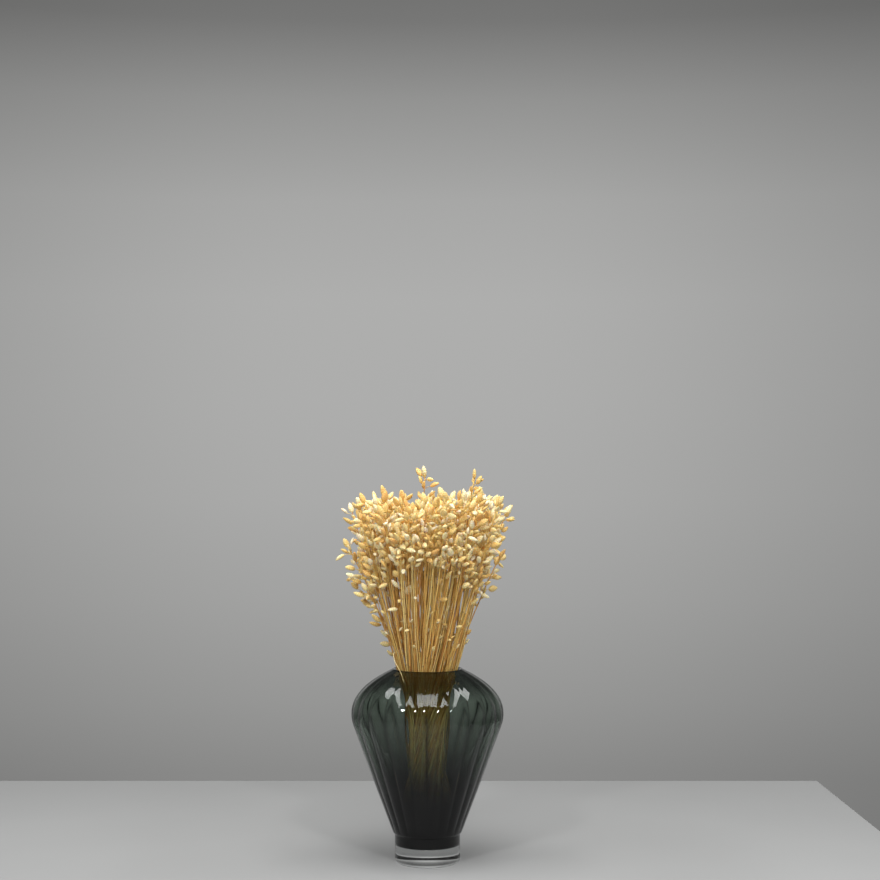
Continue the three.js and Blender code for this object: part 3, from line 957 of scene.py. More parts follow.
@dataclass(frozen=True)
class FillingRule:
    """What grows between the frame's culms and heads: thin culms, and more and smaller heads.

    Clearances below 0 let things sink into each other that much, out of sight. The thin culms are counted
    with the sleeve culms among them.
    """

    first_index: int = 1000
    sleeve_culms: int = 54
    sleeve_tries: int = 500
    sleeve_drift: float = 0.06
    thin_culms: int = 190
    culm_tries: int = 6500
    culm_clearance: float = -0.12
    thin_radius: float = 0.6
    most_reach: float = 1.05
    drop_share: float = 0.8
    drop_power: float = 1.6
    bow_share: float = 0.7
    sleeve_lean_share: float = 0.4
    crown_share: float = 0.9
    panicle: tuple[float, float] = (60.0, 34.0)
    way_down: tuple[float, float] = (0.04, 1.16)
    lean: float = 0.1
    lean_softness: float = 25.0
    rim_gap: float = 0.5
    crown_limit: float = 93.0
    thin_heads: int = 8
    more_heads_inside: int = 8
    more_heads_outside: int = 14
    more_heads_stray: int = 9
    lowest_head: float = 366.0
    lowest_range: float = 64.0
    flank_drop: float = 50.0
    flank_height: float = 350.0
    flank_distance: float = 70.0
    low_share: float = 0.5
    low_from: float = 262.0
    low_size: float = 0.66
    habit: HeadHabit = HeadHabit(
        first_draw=300,
        first_tone=900,
        outward_share=0.5,
        outward_range=2.9,
        end_tilt=(0.05, 0.3),
        side_tilt=(0.35, 0.75),
        tilt_below=0.0,
        stalk=(2.2, 6.5),
        rising_share=0.6,
        most_rise=0.6,
        most_fall=1.0,
        length=(8.5, 6.0),
    )
    placing_tries: int = 8
    clearance: float = -0.6
    groups: int = 6


@dataclass(frozen=True)
class Culm:
    """A stem that stands in the vase: where it passes the waist, how it leans, and how far out it stands."""

    waist: tuple[float, float]
    slope: tuple[float, float]
    reach: float
    rule: GrowthRule

    def at(self, height: np.ndarray | float) -> np.ndarray:
        """The culm's centre at heights: its place at the waist plus the slope times the height above it.

        Args:
            height: One height or an array of them.

        Returns:
            A point for each height, along a new last axis.
        """
        height = np.asarray(height, float)
        rise = height - self.rule.waist_height
        x, y = (start + slope * rise for start, slope in zip(self.waist, self.slope))
        return np.stack([x, y, height], -1)


@dataclass(frozen=True)
class SleeveCulm(Culm):
    """A thin culm on the outside of the bundle, which is seen standing upright through the glass."""

    turn: float = 0.0
    drift: float = 0.0
    narrowest: float = 21.8
    spread: float = 0.345

    def at(self, height: np.ndarray | float) -> np.ndarray:
        """The culm's centre at heights.

        Its distance from the axis is a hyperbola, the root of the narrowest squared plus the square of the
        spread times the height over the waist, and its angle drifts evenly with the height.

        Args:
            height: One height or an array of them.

        Returns:
            A point for each height, along a new last axis.
        """
        height = np.asarray(height, float)
        rise = height - self.rule.waist_height
        distance = np.sqrt(self.narrowest**2 + (self.spread * rise) ** 2)
        angle = self.turn + self.drift * rise / 100
        return np.stack([distance * np.cos(angle), distance * np.sin(angle), height], -1)


@dataclass
class Branch:
    """One of a culm's branches above the fork, or the whole upper part of a thin culm."""

    index: int
    spray: int
    culm: Culm
    side: np.ndarray
    top: float
    bow: np.ndarray
    radius: float
    panicle: float = 0.0
    count: int = 0
    is_stray: bool = False
    is_thin: bool = False
    softness: float = 25.0

    def straight(self, height: np.ndarray | float) -> np.ndarray:
        """The branch's centre if it grew straight: the culm's, plus the side times the height over the fork.

        A thin culm takes to its side gradually: its height over the fork counts squared, divided by itself
        plus the softness.

        Args:
            height: One height or an array of them.

        Returns:
            A point for each height.
        """
        height = np.asarray(height, float)
        rise = height - self.culm.rule.fork_height
        if self.is_thin:
            rise = np.maximum(0, rise) ** 2 / (np.maximum(0, rise) + self.softness)
        return self.culm.at(height) + self.side * rise[..., None]

    def curve(self, height: np.ndarray | float) -> np.ndarray:
        """The branch's centre: straight, plus the bow times the cube of the share of the way up."""
        height = np.asarray(height, float)
        fork = self.culm.rule.fork_height
        share = np.maximum(0, (height - fork) / (self.top - fork))
        return self.straight(height) + self.bow * (share**3)[..., None]

    def rings(self) -> np.ndarray:
        """The four points between which the frame's solid runs straight."""
        rule = self.culm.rule
        return self.curve(rule.fork_height + (self.top - rule.fork_height) * np.array(rule.ring_shares))

    def chord(self, height: float) -> np.ndarray:
        """The point at a height on the straight runs between the four points."""
        points = self.rings()
        run = 1
        while run < 3 and points[run, 2] < height:
            run += 1
        low, high = points[run - 1], points[run]
        return low + (high - low) * ((height - low[2]) / (high[2] - low[2]))


@dataclass
class Rod:
    """A straight stretch of stem, stalk or head, for telling whether things touch."""

    start: np.ndarray
    end: np.ndarray
    radius: float
    spray: int
    branch: int
    run: int
    is_body: bool


class Room:
    """The rods that are taken, in arrays that a new rod is tested against all at once."""

    def __init__(self, most: int) -> None:
        """Make room for a number of rods."""
        self.start = np.zeros((most, 3))
        self.end = np.zeros((most, 3))
        self.radius = np.zeros(most)
        self.facts = np.zeros((most, 4), int)
        self.count = 0

    def take(self, rods: list[Rod]) -> None:
        """Add rods."""
        for rod in rods:
            self.start[self.count] = rod.start
            self.end[self.count] = rod.end
            self.radius[self.count] = rod.radius
            self.facts[self.count] = (rod.spray, rod.branch, rod.run, rod.is_body)
            self.count += 1

    def columns(self) -> tuple[np.ndarray, ...]:
        """Spray, branch, run and body flag of the rods that are taken."""
        return tuple(self.facts[: self.count].T)

    def is_clear(self, rod: Rod, matters: np.ndarray, clearance: float) -> bool:
        """Tell whether a rod keeps clear of the taken rods that matter.

        The shortest distance between two segments comes from the crossing of their lines, with both shares
        held between 0 and 1.

        Args:
            rod: The new rod.
            matters: True for each taken rod that counts.
            clearance: What must be left between the surfaces.

        Returns:
            True if none is too near.
        """
        taken = (self.start, self.end, self.radius)
        start, end, radius = (column[: self.count][matters] for column in taken)
        if not len(start):
            return True
        u = rod.end - rod.start
        v = end - start
        w = rod.start - start
        uu, uv, vv, uw, vw = u @ u, v @ u, (v * v).sum(-1), w @ u, (v * w).sum(-1)
        tiny = 1e-9
        cross = uu * vv - uv * uv
        crossing = np.clip((uv * vw - vv * uw) / np.where(cross > tiny, cross, 1), 0, 1)
        first = np.where(cross > tiny, crossing, 0)
        t = np.clip((uv * first + vw) / np.maximum(vv, tiny), 0, 1)
        s = np.clip((uv * t - uw) / max(uu, tiny), 0, 1)
        gap = np.linalg.norm(w + u * s[:, None] - v * t[:, None], axis=-1)
        return bool((gap > rod.radius + radius + clearance).all())


@dataclass
class Spot:
    """A place on a branch where a head may grow, with the branch's direction there.

    The free turn is the angle at which the head leaves unless it grows outwards, down the share of the
    panicle that lies above it, and size a factor on the head.
    """

    branch: Branch
    kind: HeadKind
    root: np.ndarray
    along: np.ndarray
    free_turn: float
    down: float = 0.0
    size: float = 1.0


@dataclass
class Head:
    """A pointed papery head: where its stalk leaves the branch, where it begins, its direction and size."""

    branch: Branch
    kind: HeadKind
    root: np.ndarray
    neck: np.ndarray
    facing: np.ndarray
    side: np.ndarray
    length: float
    wide: float
    deep: float
    tone: float
    body_ends = (0.2, 0.75)
    body_share = 0.9

    def rods(self, stalk_radius: float) -> list[Rod]:
        """The head's body and, below a branch's end, its stalk, as rods."""
        spray, index = self.branch.spray, self.branch.index
        low, high = (self.neck + self.facing * self.length * share for share in self.body_ends)
        rods = [Rod(low, high, self.body_share * self.wide, spray, index, 0, True)]
        if self.kind is not HeadKind.END:
            rods.append(Rod(self.root, self.neck, stalk_radius, spray, index, 0, False))
        return rods


class Bunch:
    """Grows culms, branches and heads: first those of the frame's nodes, then the finer ones between."""

    most_rods = 9000

    def __init__(self, vase: Vase, rule: GrowthRule, filling: FillingRule) -> None:
        """Keep the rules and grow the whole bunch."""
        self.vase = vase
        self.rule = rule
        self.filling = filling
        self.room = Room(self.most_rods)
        self.branches = self.grow_branches()
        self.heads = self.grow_heads()
        LOG.info("frame's share: %d branches, %d heads", len(self.branches), len(self.heads))
        self.thin = self.grow_thin_culms()
        self.heads += self.grow_filling()
        LOG.info("whole bunch: %d thin culms, %d heads", len(self.thin), len(self.heads))

    def ruling(self, reach: float, turn: float) -> Culm:
        """A ruling of a hyperboloid, so that culms of the same twist never meet.

        Args:
            reach: How far out it passes the waist, as a share of the waist's radius.
            turn: The angle at which it does.

        Returns:
            The culm.
        """
        rule = self.rule
        cosine, sine = math.cos(turn), math.sin(turn)
        waist = (reach * rule.waist_radius * cosine, reach * rule.waist_radius * sine)
        return Culm(waist, (-reach * rule.spread * sine, reach * rule.spread * cosine), reach, rule)

    def culm(self, spray: int) -> Culm:
        """The culm of a node: its reach is a power of its place in the order, its turn golden angles."""
        reach = ((spray + 0.5) / self.rule.sprays) ** self.rule.crowding
        return self.ruling(reach, spray * GOLDEN_ANGLE)

    def fork_side(self, spray: int) -> np.ndarray:
        """The direction in which a culm forks."""
        return heading(2 * math.pi * draw(spray, 0, 1))

    def foot_of(self, culm: Culm, radius: float) -> float:
        """The height where a culm's cut end rests on the inside of the vase.

        Args:
            culm: The culm.
            radius: Its radius.

        Returns:
            The lowest height, in steps of half a millimetre down from the waist, where it still has room.
        """
        heights = np.arange(self.rule.waist_height - 0.5, self.vase.cavity_floor + 1.5, -0.5)
        across = np.linalg.norm(culm.at(heights)[:, :2], axis=-1) + radius + self.rule.face_gap
        is_blocked = across > self.vase.inside_radius(heights - self.rule.face_gap)
        stop = int(np.argmax(is_blocked)) if is_blocked.any() else len(heights)
        return float(heights[max(0, stop - 1)])

    def branch_plans(self) -> list[Branch]:
        """Plan where every branch ends, with the strays in place of the branches that grow nearest to them.

        Returns:
            Two branches for each culm, in order.
        """
        rule = self.rule
        plans = []
        for spray in range(rule.sprays):
            culm = self.culm(spray)
            for sign in (1, -1):
                index = len(plans)
                is_short = draw(index, 2, 1) < rule.short_share * culm.reach
                least_drop, more_drop = rule.drop_range
                drop = rule.short_drop * (least_drop + more_drop * draw(index, 2, 2)) if is_short else 0
                top = rule.crown_height + rule.crown_roughness * (draw(index, 2, 3) - 0.5) - drop
                bow = heading(2 * math.pi * draw(index, 1, 1)) * rule.bow * draw(index, 1, 2)
                side = self.fork_side(spray) * sign * rule.fork_spread
                plan = Branch(index, spray, culm, side, top, bow, rule.stem_radius)
                outward = plan.straight(top) * [1, 1, 0]
                plan.bow = bow - unit(outward) * rule.inward_bow * culm.reach
                plans.append(plan)
        for stray in rule.strays:
            end = np.array(stray, float)
            free = [plan for plan in plans if not plan.is_stray]
            nearest = min(free, key=lambda plan: np.linalg.norm(plan.straight(end[2]) - end))
            nearest.top = end[2]
            nearest.bow = end - nearest.straight(end[2])
            nearest.is_stray = True
        return plans

    def bow_choices(self, plan: Branch) -> list[np.ndarray]:
        """The bows that a branch may take: its own, less of it, and then others, ever further out."""
        rule = self.rule
        choices = [share * plan.bow for share in rule.less_bow]
        for i in range(rule.other_bows):
            bow = rule.bow * (rule.other_bow[0] + rule.other_bow[1] * i)
            choices.append(bow * heading(plan.index + i * GOLDEN_ANGLE))
        return choices

    def has_room(self, rods: list[Rod]) -> bool:
        """Tell whether a branch's rods keep clear of all others, apart from its twin's at the fork."""
        spray, _, run, _ = self.room.columns()
        return all(
            self.room.is_clear(rod, (spray != rod.spray) | ((run > 0) & (rod.run > 0)), self.rule.clearance)
            for rod in rods
        )

    def grow_branches(self) -> list[Branch]:
        """Grow every branch, strays first, with the first bow that keeps it clear of those before it.

        Returns:
            The branches, in the order of their index.
        """
        rule = self.rule
        branches = []
        plans = self.branch_plans()
        for plan in sorted(plans, key=lambda one: not one.is_stray):
            for bow in self.bow_choices(plan):
                plan.bow = bow
                points = plan.rings()
                own = [
                    Rod(points[run], points[run + 1], rule.stem_radius, plan.spray, plan.index, run, False)
                    for run in range(3)
                ]
                if not self.has_room(own):
                    continue
                is_short = plan.top < rule.crown_height - rule.crown_roughness or plan.is_stray
                panicle = rule.short_panicle if is_short else rule.long_panicle
                plan.panicle = panicle + rule.panicle_range * draw(plan.index, 2, 4)
                outer = rule.most_heads if plan.index % 3 == 0 or plan.is_stray else rule.outer_heads
                plan.count = rule.inner_heads if plan.culm.reach < rule.inner_reach else outer
                branches.append(plan)
                self.room.take(own)
                break
        return sorted(branches, key=lambda branch: branch.index)

    def head_at(self, spot: Spot, habit: HeadHabit, k: int, attempt: int) -> Head:
        """Draw a head's direction and size at a spot.

        Args:
            spot: The place on the branch.
            habit: How heads of its sort grow.
            k: A number that tells the branch's heads apart.
            attempt: The try, which changes the random numbers.

        Returns:
            The head.
        """
        rule = self.rule
        index = spot.branch.index

        def r(c: int) -> float:
            """The try's own random number for a property."""
            return habit.number(index, k, attempt, c)

        is_end = spot.kind is HeadKind.END
        is_outward = spot.branch.culm.reach > rule.inner_reach and r(10) < habit.outward_share
        outward_turn = math.atan2(spot.root[1], spot.root[0]) + habit.outward_range * (r(2) - 0.5)
        turn = outward_turn if is_outward else spot.free_turn
        least_tilt, more_tilt = habit.end_tilt if is_end else habit.side_tilt
        tilt = least_tilt + more_tilt * r(3) + habit.tilt_below * spot.down
        outward = square_to(heading(turn), spot.along)
        away = spot.along * math.cos(tilt) + outward * math.sin(tilt)
        length = spot.size * (habit.length[0] + habit.length[1] * r(4))
        stalk = 0 if is_end else spot.size * (habit.stalk[0] + habit.stalk[1] * r(5))
        lift = habit.most_rise * r(7) if r(6) < habit.rising_share else -habit.most_fall * r(7)
        wide = length * rule.head_width_share * (habit.width[0] + habit.width[1] * r(9)) / 2
        return Head(
            branch=spot.branch,
            kind=spot.kind,
            root=spot.root,
            neck=spot.root + away * stalk,
            facing=unit(away + UP * (0 if is_end else lift)),
            side=heading(9 * r(8)) + 0.35 * UP,
            length=length,
            wide=wide,
            deep=wide * rule.head_depth_share,
            tone=draw(index, habit.first_tone + k, 1),
        )

    def propose_head(self, branch: Branch, k: int, attempt: int) -> Head:
        """Propose one of the frame's heads.

        Args:
            branch: The branch that it grows on.
            k: Its place on the branch, 0 at the end.
            attempt: The try.

        Returns:
            The head.
        """
        habit = self.rule.habit
        share = habit.number(branch.index, k, attempt, 1)
        least, more = self.rule.step_share
        down = 0.0 if k == 0 else (k + least + more * share) / (branch.count - self.rule.last_step)
        height = branch.top - branch.panicle * down
        root = branch.chord(height)
        along = unit(root - branch.chord(height - 1))
        free_turn = k * GOLDEN_ANGLE + 2 * math.pi * draw(branch.index, 3, 1) + attempt
        kind = HeadKind.END if k == 0 else HeadKind.SIDE
        return self.head_at(Spot(branch, kind, root, along, free_turn, down), habit, k, attempt)

    def can_grow(self, rods: list[Rod], is_end: bool, clearance: float) -> bool:
        """Tell whether a head can grow.

        It touches nothing but its own branch, and its body not even that, unless it is the branch's end.

        Args:
            rods: The head's rods.
            is_end: True for the head at a branch's end.
            clearance: What must be left between the surfaces.

        Returns:
            True if it can.
        """
        _, branch, _, is_body = self.room.columns()
        return all(
            self.room.is_clear(
                rod, (branch != rod.branch) | (is_body > 0) | (rod.is_body and not is_end), clearance
            )
            for rod in rods
        )

    def first_free(self, proposals: list[tuple], clearance: float) -> Head | None:
        """Take the first proposed head that can grow.

        Args:
            proposals: Functions with their arguments, each of which gives a head.
            clearance: What must be left between the surfaces.

        Returns:
            The head, or None if none can grow.
        """
        for propose, *arguments in proposals:
            head = propose(*arguments)
            rods = head.rods(self.rule.stalk_radius)
            if self.can_grow(rods, head.kind is HeadKind.END, clearance):
                self.room.take(rods)
                return head
        return None

    def grow_heads(self) -> list[Head]:
        """Grow the frame's heads. Each round gives each branch one more, where the first free try lies."""
        heads = []
        for k in range(self.rule.most_heads):
            for branch in self.branches:
                if k < branch.count:
                    attempts = range(self.rule.placing_tries)
                    tries = [(self.propose_head, branch, k, attempt) for attempt in attempts]
                    heads.append(self.first_free(tries, self.rule.clearance))
        return [head for head in heads if head is not None]

    def thin_plan(self, index: int) -> Branch:
        """Plan a thin culm: a ruling like the others up to the fork's height, which then leans its own way.

        Args:
            index: The number that its random numbers come from.

        Returns:
            The culm, as a branch with no fork.
        """
        rule, filling = self.rule, self.filling
        reach = filling.most_reach * draw(index, 0, 1) ** rule.crowding
        first_turn = 2 * math.pi * draw(index, 0, 2)
        culm = self.ruling(reach, first_turn)
        is_sleeve = index - filling.first_index < filling.sleeve_tries
        if is_sleeve:
            drift = filling.sleeve_drift * (2 * draw(index, 0, 10) - 1)
            culm = SleeveCulm((0.0, 0.0), (0.0, 0.0), 1.0, rule, first_turn, drift)
        drop = filling.drop_share * rule.short_drop * draw(index, 0, 3) ** filling.drop_power
        roughness = filling.crown_share * rule.crown_roughness
        top = rule.crown_height + roughness * (draw(index, 0, 4) - 0.5) - drop
        lean_share = filling.sleeve_lean_share if is_sleeve else 1.0
        lean = filling.lean * math.sqrt(draw(index, 0, 8)) * lean_share
        side = lean * heading(2 * math.pi * draw(index, 0, 9))
        most_bow = rule.bow * filling.bow_share
        bow = heading(2 * math.pi * draw(index, 0, 5)) * most_bow * draw(index, 0, 6)
        plan = Branch(index, index, culm, side, top, bow, filling.thin_radius, is_thin=True)
        plan.softness = filling.lean_softness
        plan.bow = bow - unit(plan.straight(top) * [1, 1, 0]) * rule.inward_bow * culm.reach
        plan.panicle = filling.panicle[0] + filling.panicle[1] * draw(index, 0, 7)
        return plan

    def is_inside(self, plan: Branch) -> bool:
        """Tell whether a thin culm passes the mouth without touching it and ends within the crown."""
        mouth = np.linalg.norm(plan.curve(self.vase.height)[:2])
        crown = np.linalg.norm(plan.curve(plan.top)[:2])
        room = self.vase.mouth_radius - plan.radius - self.filling.rim_gap
        return bool(mouth < room and crown < self.filling.crown_limit)

    def grow_thin_culms(self) -> list[Branch]:
        """Grow thin culms in the room between the others, each with the bows that a branch may take.

        Returns:
            The thin culms, as branches with no fork.
        """
        rule, filling = self.rule, self.filling
        for spray in range(rule.sprays):
            culm = self.culm(spray)
            foot = self.foot_of(culm, rule.stem_radius)
            ends = culm.at(np.array([foot, rule.fork_height]))
            self.room.take([Rod(ends[0], ends[1], rule.stem_radius, spray, -1, 0, False)])
        thin: list[Branch] = []
        for attempt in range(filling.culm_tries):
            index = filling.first_index + attempt
            is_sleeve = attempt < filling.sleeve_tries
            if len(thin) >= (filling.sleeve_culms if is_sleeve else filling.thin_culms):
                continue
            plan = self.thin_plan(index)
            if not self.is_inside(plan):
                continue
            foot = self.foot_of(plan.culm, plan.radius)
            lower = np.linspace(foot, rule.fork_height, 7 if is_sleeve else 2)[:-1]
            points = np.concatenate([plan.culm.at(lower), plan.rings()])
            rods = [
                Rod(points[run], points[run + 1], filling.thin_radius, index, index, run, False)
                for run in range(len(points) - 1)
            ]
            everything = np.ones(self.room.count, bool)
            if all(self.room.is_clear(rod, everything, filling.culm_clearance) for rod in rods):
                self.room.take(rods)
                thin.append(plan)
        LOG.info("%d thin culms", len(thin))
        return thin

    def propose_filling(self, branch: Branch, k: int, kind: HeadKind, attempt: int) -> Head:
        """Propose a head for the gaps between the frame's, or a small one low on a stem.

        Args:
            branch: The branch that it grows on.
            k: A number that tells the branch's filling heads apart.
            kind: Whether it is at the end, in the panicle or low.
            attempt: The try.

        Returns:
            The head.
        """
        filling = self.filling
        habit = filling.habit

        def r(c: int) -> float:
            """The try's own random number for a property."""
            return habit.number(branch.index, k, attempt, c)

        down = 0.0 if kind is HeadKind.END else filling.way_down[0] + filling.way_down[1] * r(1)
        height = branch.top - branch.panicle * down
        aside = min(1.0, abs(float(branch.curve(filling.flank_height)[0])) / filling.flank_distance)
        lowest = filling.lowest_head - filling.flank_drop * aside**2 + filling.lowest_range * r(11) ** 2
        if kind is HeadKind.FILLING and height < lowest:
            height = lowest + (branch.top - lowest) * r(12)
        if kind is HeadKind.LOW:
            height = filling.low_from + (branch.top - branch.panicle - filling.low_from) * r(1)
        root = branch.curve(height)
        along = unit(root - branch.curve(height - 1))
        size = filling.low_size if kind is HeadKind.LOW else 1.0
        spot = Spot(branch, kind, root, along, 2 * math.pi * r(2), size=size)
        return self.head_at(spot, habit, k, attempt)

    def filling_count(self, branch: Branch) -> int:
        """How many filling heads a branch gets."""
        if branch.is_thin:
            return self.filling.thin_heads
        if branch.is_stray:
            return self.filling.more_heads_stray
        is_inner = branch.culm.reach < self.rule.inner_reach
        return self.filling.more_heads_inside if is_inner else self.filling.more_heads_outside

    def grow_filling(self) -> list[Head]:
        """Grow the ends of the thin culms, then the filling heads round by round, then the low ones.

        Returns:
            The heads that could grow.
        """
        filling = self.filling
        heads = []
        jobs = [(branch, 0, HeadKind.END) for branch in self.thin]
        most = max(filling.more_heads_stray, filling.more_heads_outside)
        for k in range(1, most + 1):
            for branch in self.branches + self.thin:
                if k <= self.filling_count(branch):
                    jobs.append((branch, k, HeadKind.FILLING))
        for branch in self.branches + self.thin:
            if draw(branch.index, 200, 1) < filling.low_share:
                jobs.append((branch, most + 1, HeadKind.LOW))
        for job in jobs:
            tries = [(self.propose_filling, *job, attempt) for attempt in range(filling.placing_tries)]
            heads.append(self.first_free(tries, filling.clearance))
        return [head for head in heads if head is not None]


@dataclass(frozen=True)
class HeadShape:
    """The finer form of a head: plump, pointed, with two ranks of overlapping scales."""

    rings: int = 10
    corners: int = 6
    end_gap: float = 0.045
    blunt: float = 0.82
    fullness: float = 0.62
    scale_relief: float = 0.06
    flat_relief_share: float = 0.55
    bend: float = 0.05
    stalk_rings: int = 4
    stalk_corners: int = 4
    stalk_lift: float = 0.16
    stalk_tip_share: float = 0.72
    stalk_depth: float = 0.07

    def bodies(self, heads: list[Head]) -> Skin:
        """Make the bodies of heads.

        The half-width at a share u of the length is the sine of pi u to the power blunt, to the power
        fullness. The two sides swell in turn from ring to ring, which gives each its rank of scales. The
        middle line bends sideways by a sine.

        Args:
            heads: The heads.

        Returns:
            One closed skin for each head.
        """
        facing = np.array([head.facing for head in heads])
        across = square_to(np.array([head.side for head in heads]), facing)
        deep = np.cross(facing, across)
        length = np.array([head.length for head in heads])
        neck = np.array([head.neck for head in heads])
        wide = np.array([head.wide for head in heads])
        flat = np.array([head.deep for head in heads])
        sway = np.array([2 * draw(head.branch.index, 800, int(97 * head.tone)) - 1 for head in heads])
        u = np.linspace(self.end_gap, 1 - self.end_gap, self.rings)
        shares = np.r_[0.0, u, 1.0]
        offset = (sway * length * self.bend)[:, None, None] * deep[:, None] * np.sin(np.pi * shares)[:, None]
        line = neck[:, None] + facing[:, None] * (length[:, None] * shares)[..., None] + offset
        half = np.sin(np.pi * u**self.blunt) ** self.fullness
        turn = 2 * np.pi * np.arange(self.corners) / self.corners
        rank = np.where(np.cos(turn) > 0, 1, -1)
        step = np.where(np.arange(self.rings) % 2 == 0, 1, -1)
        relief = self.flat_relief_share + (1 - self.flat_relief_share) * np.abs(np.cos(turn))
        swell = 1 + self.scale_relief * step[:, None] * rank[None] * relief
        skin = loft(
            line[:, 1:-1],
            across[:, None] * (wide[:, None] * half)[..., None],
            deep[:, None] * (flat[:, None] * half)[..., None],
            line[:, [0, -1]],
            swell[None],
        )
        tone = np.repeat([head.tone for head in heads], self.rings * self.corners + 2)
        return skin.with_values(husk=1.0, tone=tone)

    def stalks(self, heads: list[Head], radius: float) -> Skin:
        """Make the stalks of heads: tubes along a quadratic curve that leaves the branch more steeply.

        Args:
            heads: Heads that have a stalk.
            radius: Its radius at the branch.

        Returns:
            One tube for each head.
        """
        root = np.array([head.branch.curve(head.root[2]) for head in heads])
        neck = np.array([head.neck + head.facing * self.stalk_depth * head.length for head in heads])
        lift = np.array([self.stalk_lift * np.linalg.norm(head.neck - head.root) for head in heads])
        middle = (root + neck) / 2 + UP * lift[:, None]
        t = np.linspace(0, 1, self.stalk_rings)[None, :, None]
        line = root[:, None] * (1 - t) ** 2 + middle[:, None] * 2 * t * (1 - t) + neck[:, None] * t**2
        taper = np.linspace(1, self.stalk_tip_share, self.stalk_rings)
        radii = radius * taper[None] * np.ones((len(heads), 1))
        side = np.array([head.side for head in heads])
        points_a_stalk = self.stalk_rings * self.stalk_corners + 2
        tone = np.repeat([0.2 + 0.6 * head.tone for head in heads], points_a_stalk)
        return tubes(line, radii, side, self.stalk_corners).with_values(husk=0.0, tone=tone)


@dataclass(frozen=True)
class StemShape:
    """The finer form of stems: round, tapering, a little wavy, with swollen nodes."""

    corners: int = 6
    trunk_rings: int = 7
    branch_rings: int = 15
    node_places: tuple[tuple[float, float], ...] = ((0.2, 0.15), (0.62, 0.12))
    node_swell: float = 0.38
    node_half_length: float = 1.6
    wave: float = 0.45
    wave_heights: tuple[float, float] = (14.0, 19.0)
    tip_share: float = 0.62
    trunk_end: float = 5.0
    trunk_end_share: float = 0.25
    first_side: tuple[float, float, float] = (1.0, 0.3, 0.0)
    tone: tuple[float, float] = (0.02, 0.96)
    trunk_tone: tuple[float, float] = (0.1, 0.8)

    def stem(self, branch: Branch, low: float, high: float, start_radius: float, end_radius: float) -> Skin:
        """Make a stretch of stem between two heights.

        The radius tapers evenly, and swells at one or two nodes. Sideways it waves by sines of the height,
        which fade out at both ends.

        Args:
            branch: The branch whose curve it follows.
            low: Its lower end's height.
            high: Its upper end's height.
            start_radius: Radius at the lower end.
            end_radius: Radius at the upper end.

        Returns:
            The closed tube.
        """
        span = high - low
        places = enumerate(self.node_places, start=1)
        shares = [least + more * draw(branch.index, 50, number) for number, (least, more) in places]
        nodes = low + span * np.array(shares)
        near = (nodes[:, None] + self.node_half_length * np.array([-1, 0, 1])).ravel()
        heights = np.sort(np.r_[np.linspace(low, high, self.branch_rings), near])
        share = (heights - low) / span
        node_width = 0.55 * self.node_half_length
        swell = np.exp(-(((heights[:, None] - nodes) / node_width) ** 2)).sum(-1)
        radii = (start_radius + (end_radius - start_radius) * share) * (1 + self.node_swell * swell)
        phase = 6.3 * draw(branch.index, 51, 1)
        fade = np.sin(np.pi * share) * self.wave
        one, other = (heights / length + phase for length in self.wave_heights)
        offset = np.stack([fade * np.sin(one), fade * np.cos(other), 0 * heights], -1)
        line = (branch.curve(heights) + offset)[None]
        skin = tubes(line, radii[None], np.array([self.first_side]), self.corners)
        tone = self.tone[0] + self.tone[1] * draw(branch.index, 52, 1)
        joint = np.r_[np.repeat(swell, self.corners), 0, 0]
        return skin.with_values(husk=0.0, tone=tone, joint=np.clip(joint, 0, 1))

    def trunk(self, culm: Culm, branch: Branch, foot: float, radius: float) -> Skin:
        """Make a culm's trunk from its foot to just above the fork, where it closes in a point.

        Args:
            culm: The culm.
            branch: One of its branches, for the tone.
            foot: Height of its cut end.
            radius: Its radius.

        Returns:
            The closed tube.
        """
        fork = culm.rule.fork_height
        heights = np.r_[np.linspace(foot, fork, self.trunk_rings), fork + self.trunk_end]
        radii = np.r_[np.full(self.trunk_rings, radius), self.trunk_end_share * radius]
        skin = tubes(culm.at(heights)[None], radii[None], np.array([self.first_side]), self.corners)
        tone = self.trunk_tone[0] + self.trunk_tone[1] * draw(branch.index, 52, 1)
        return skin.with_values(husk=0.0, tone=tone)


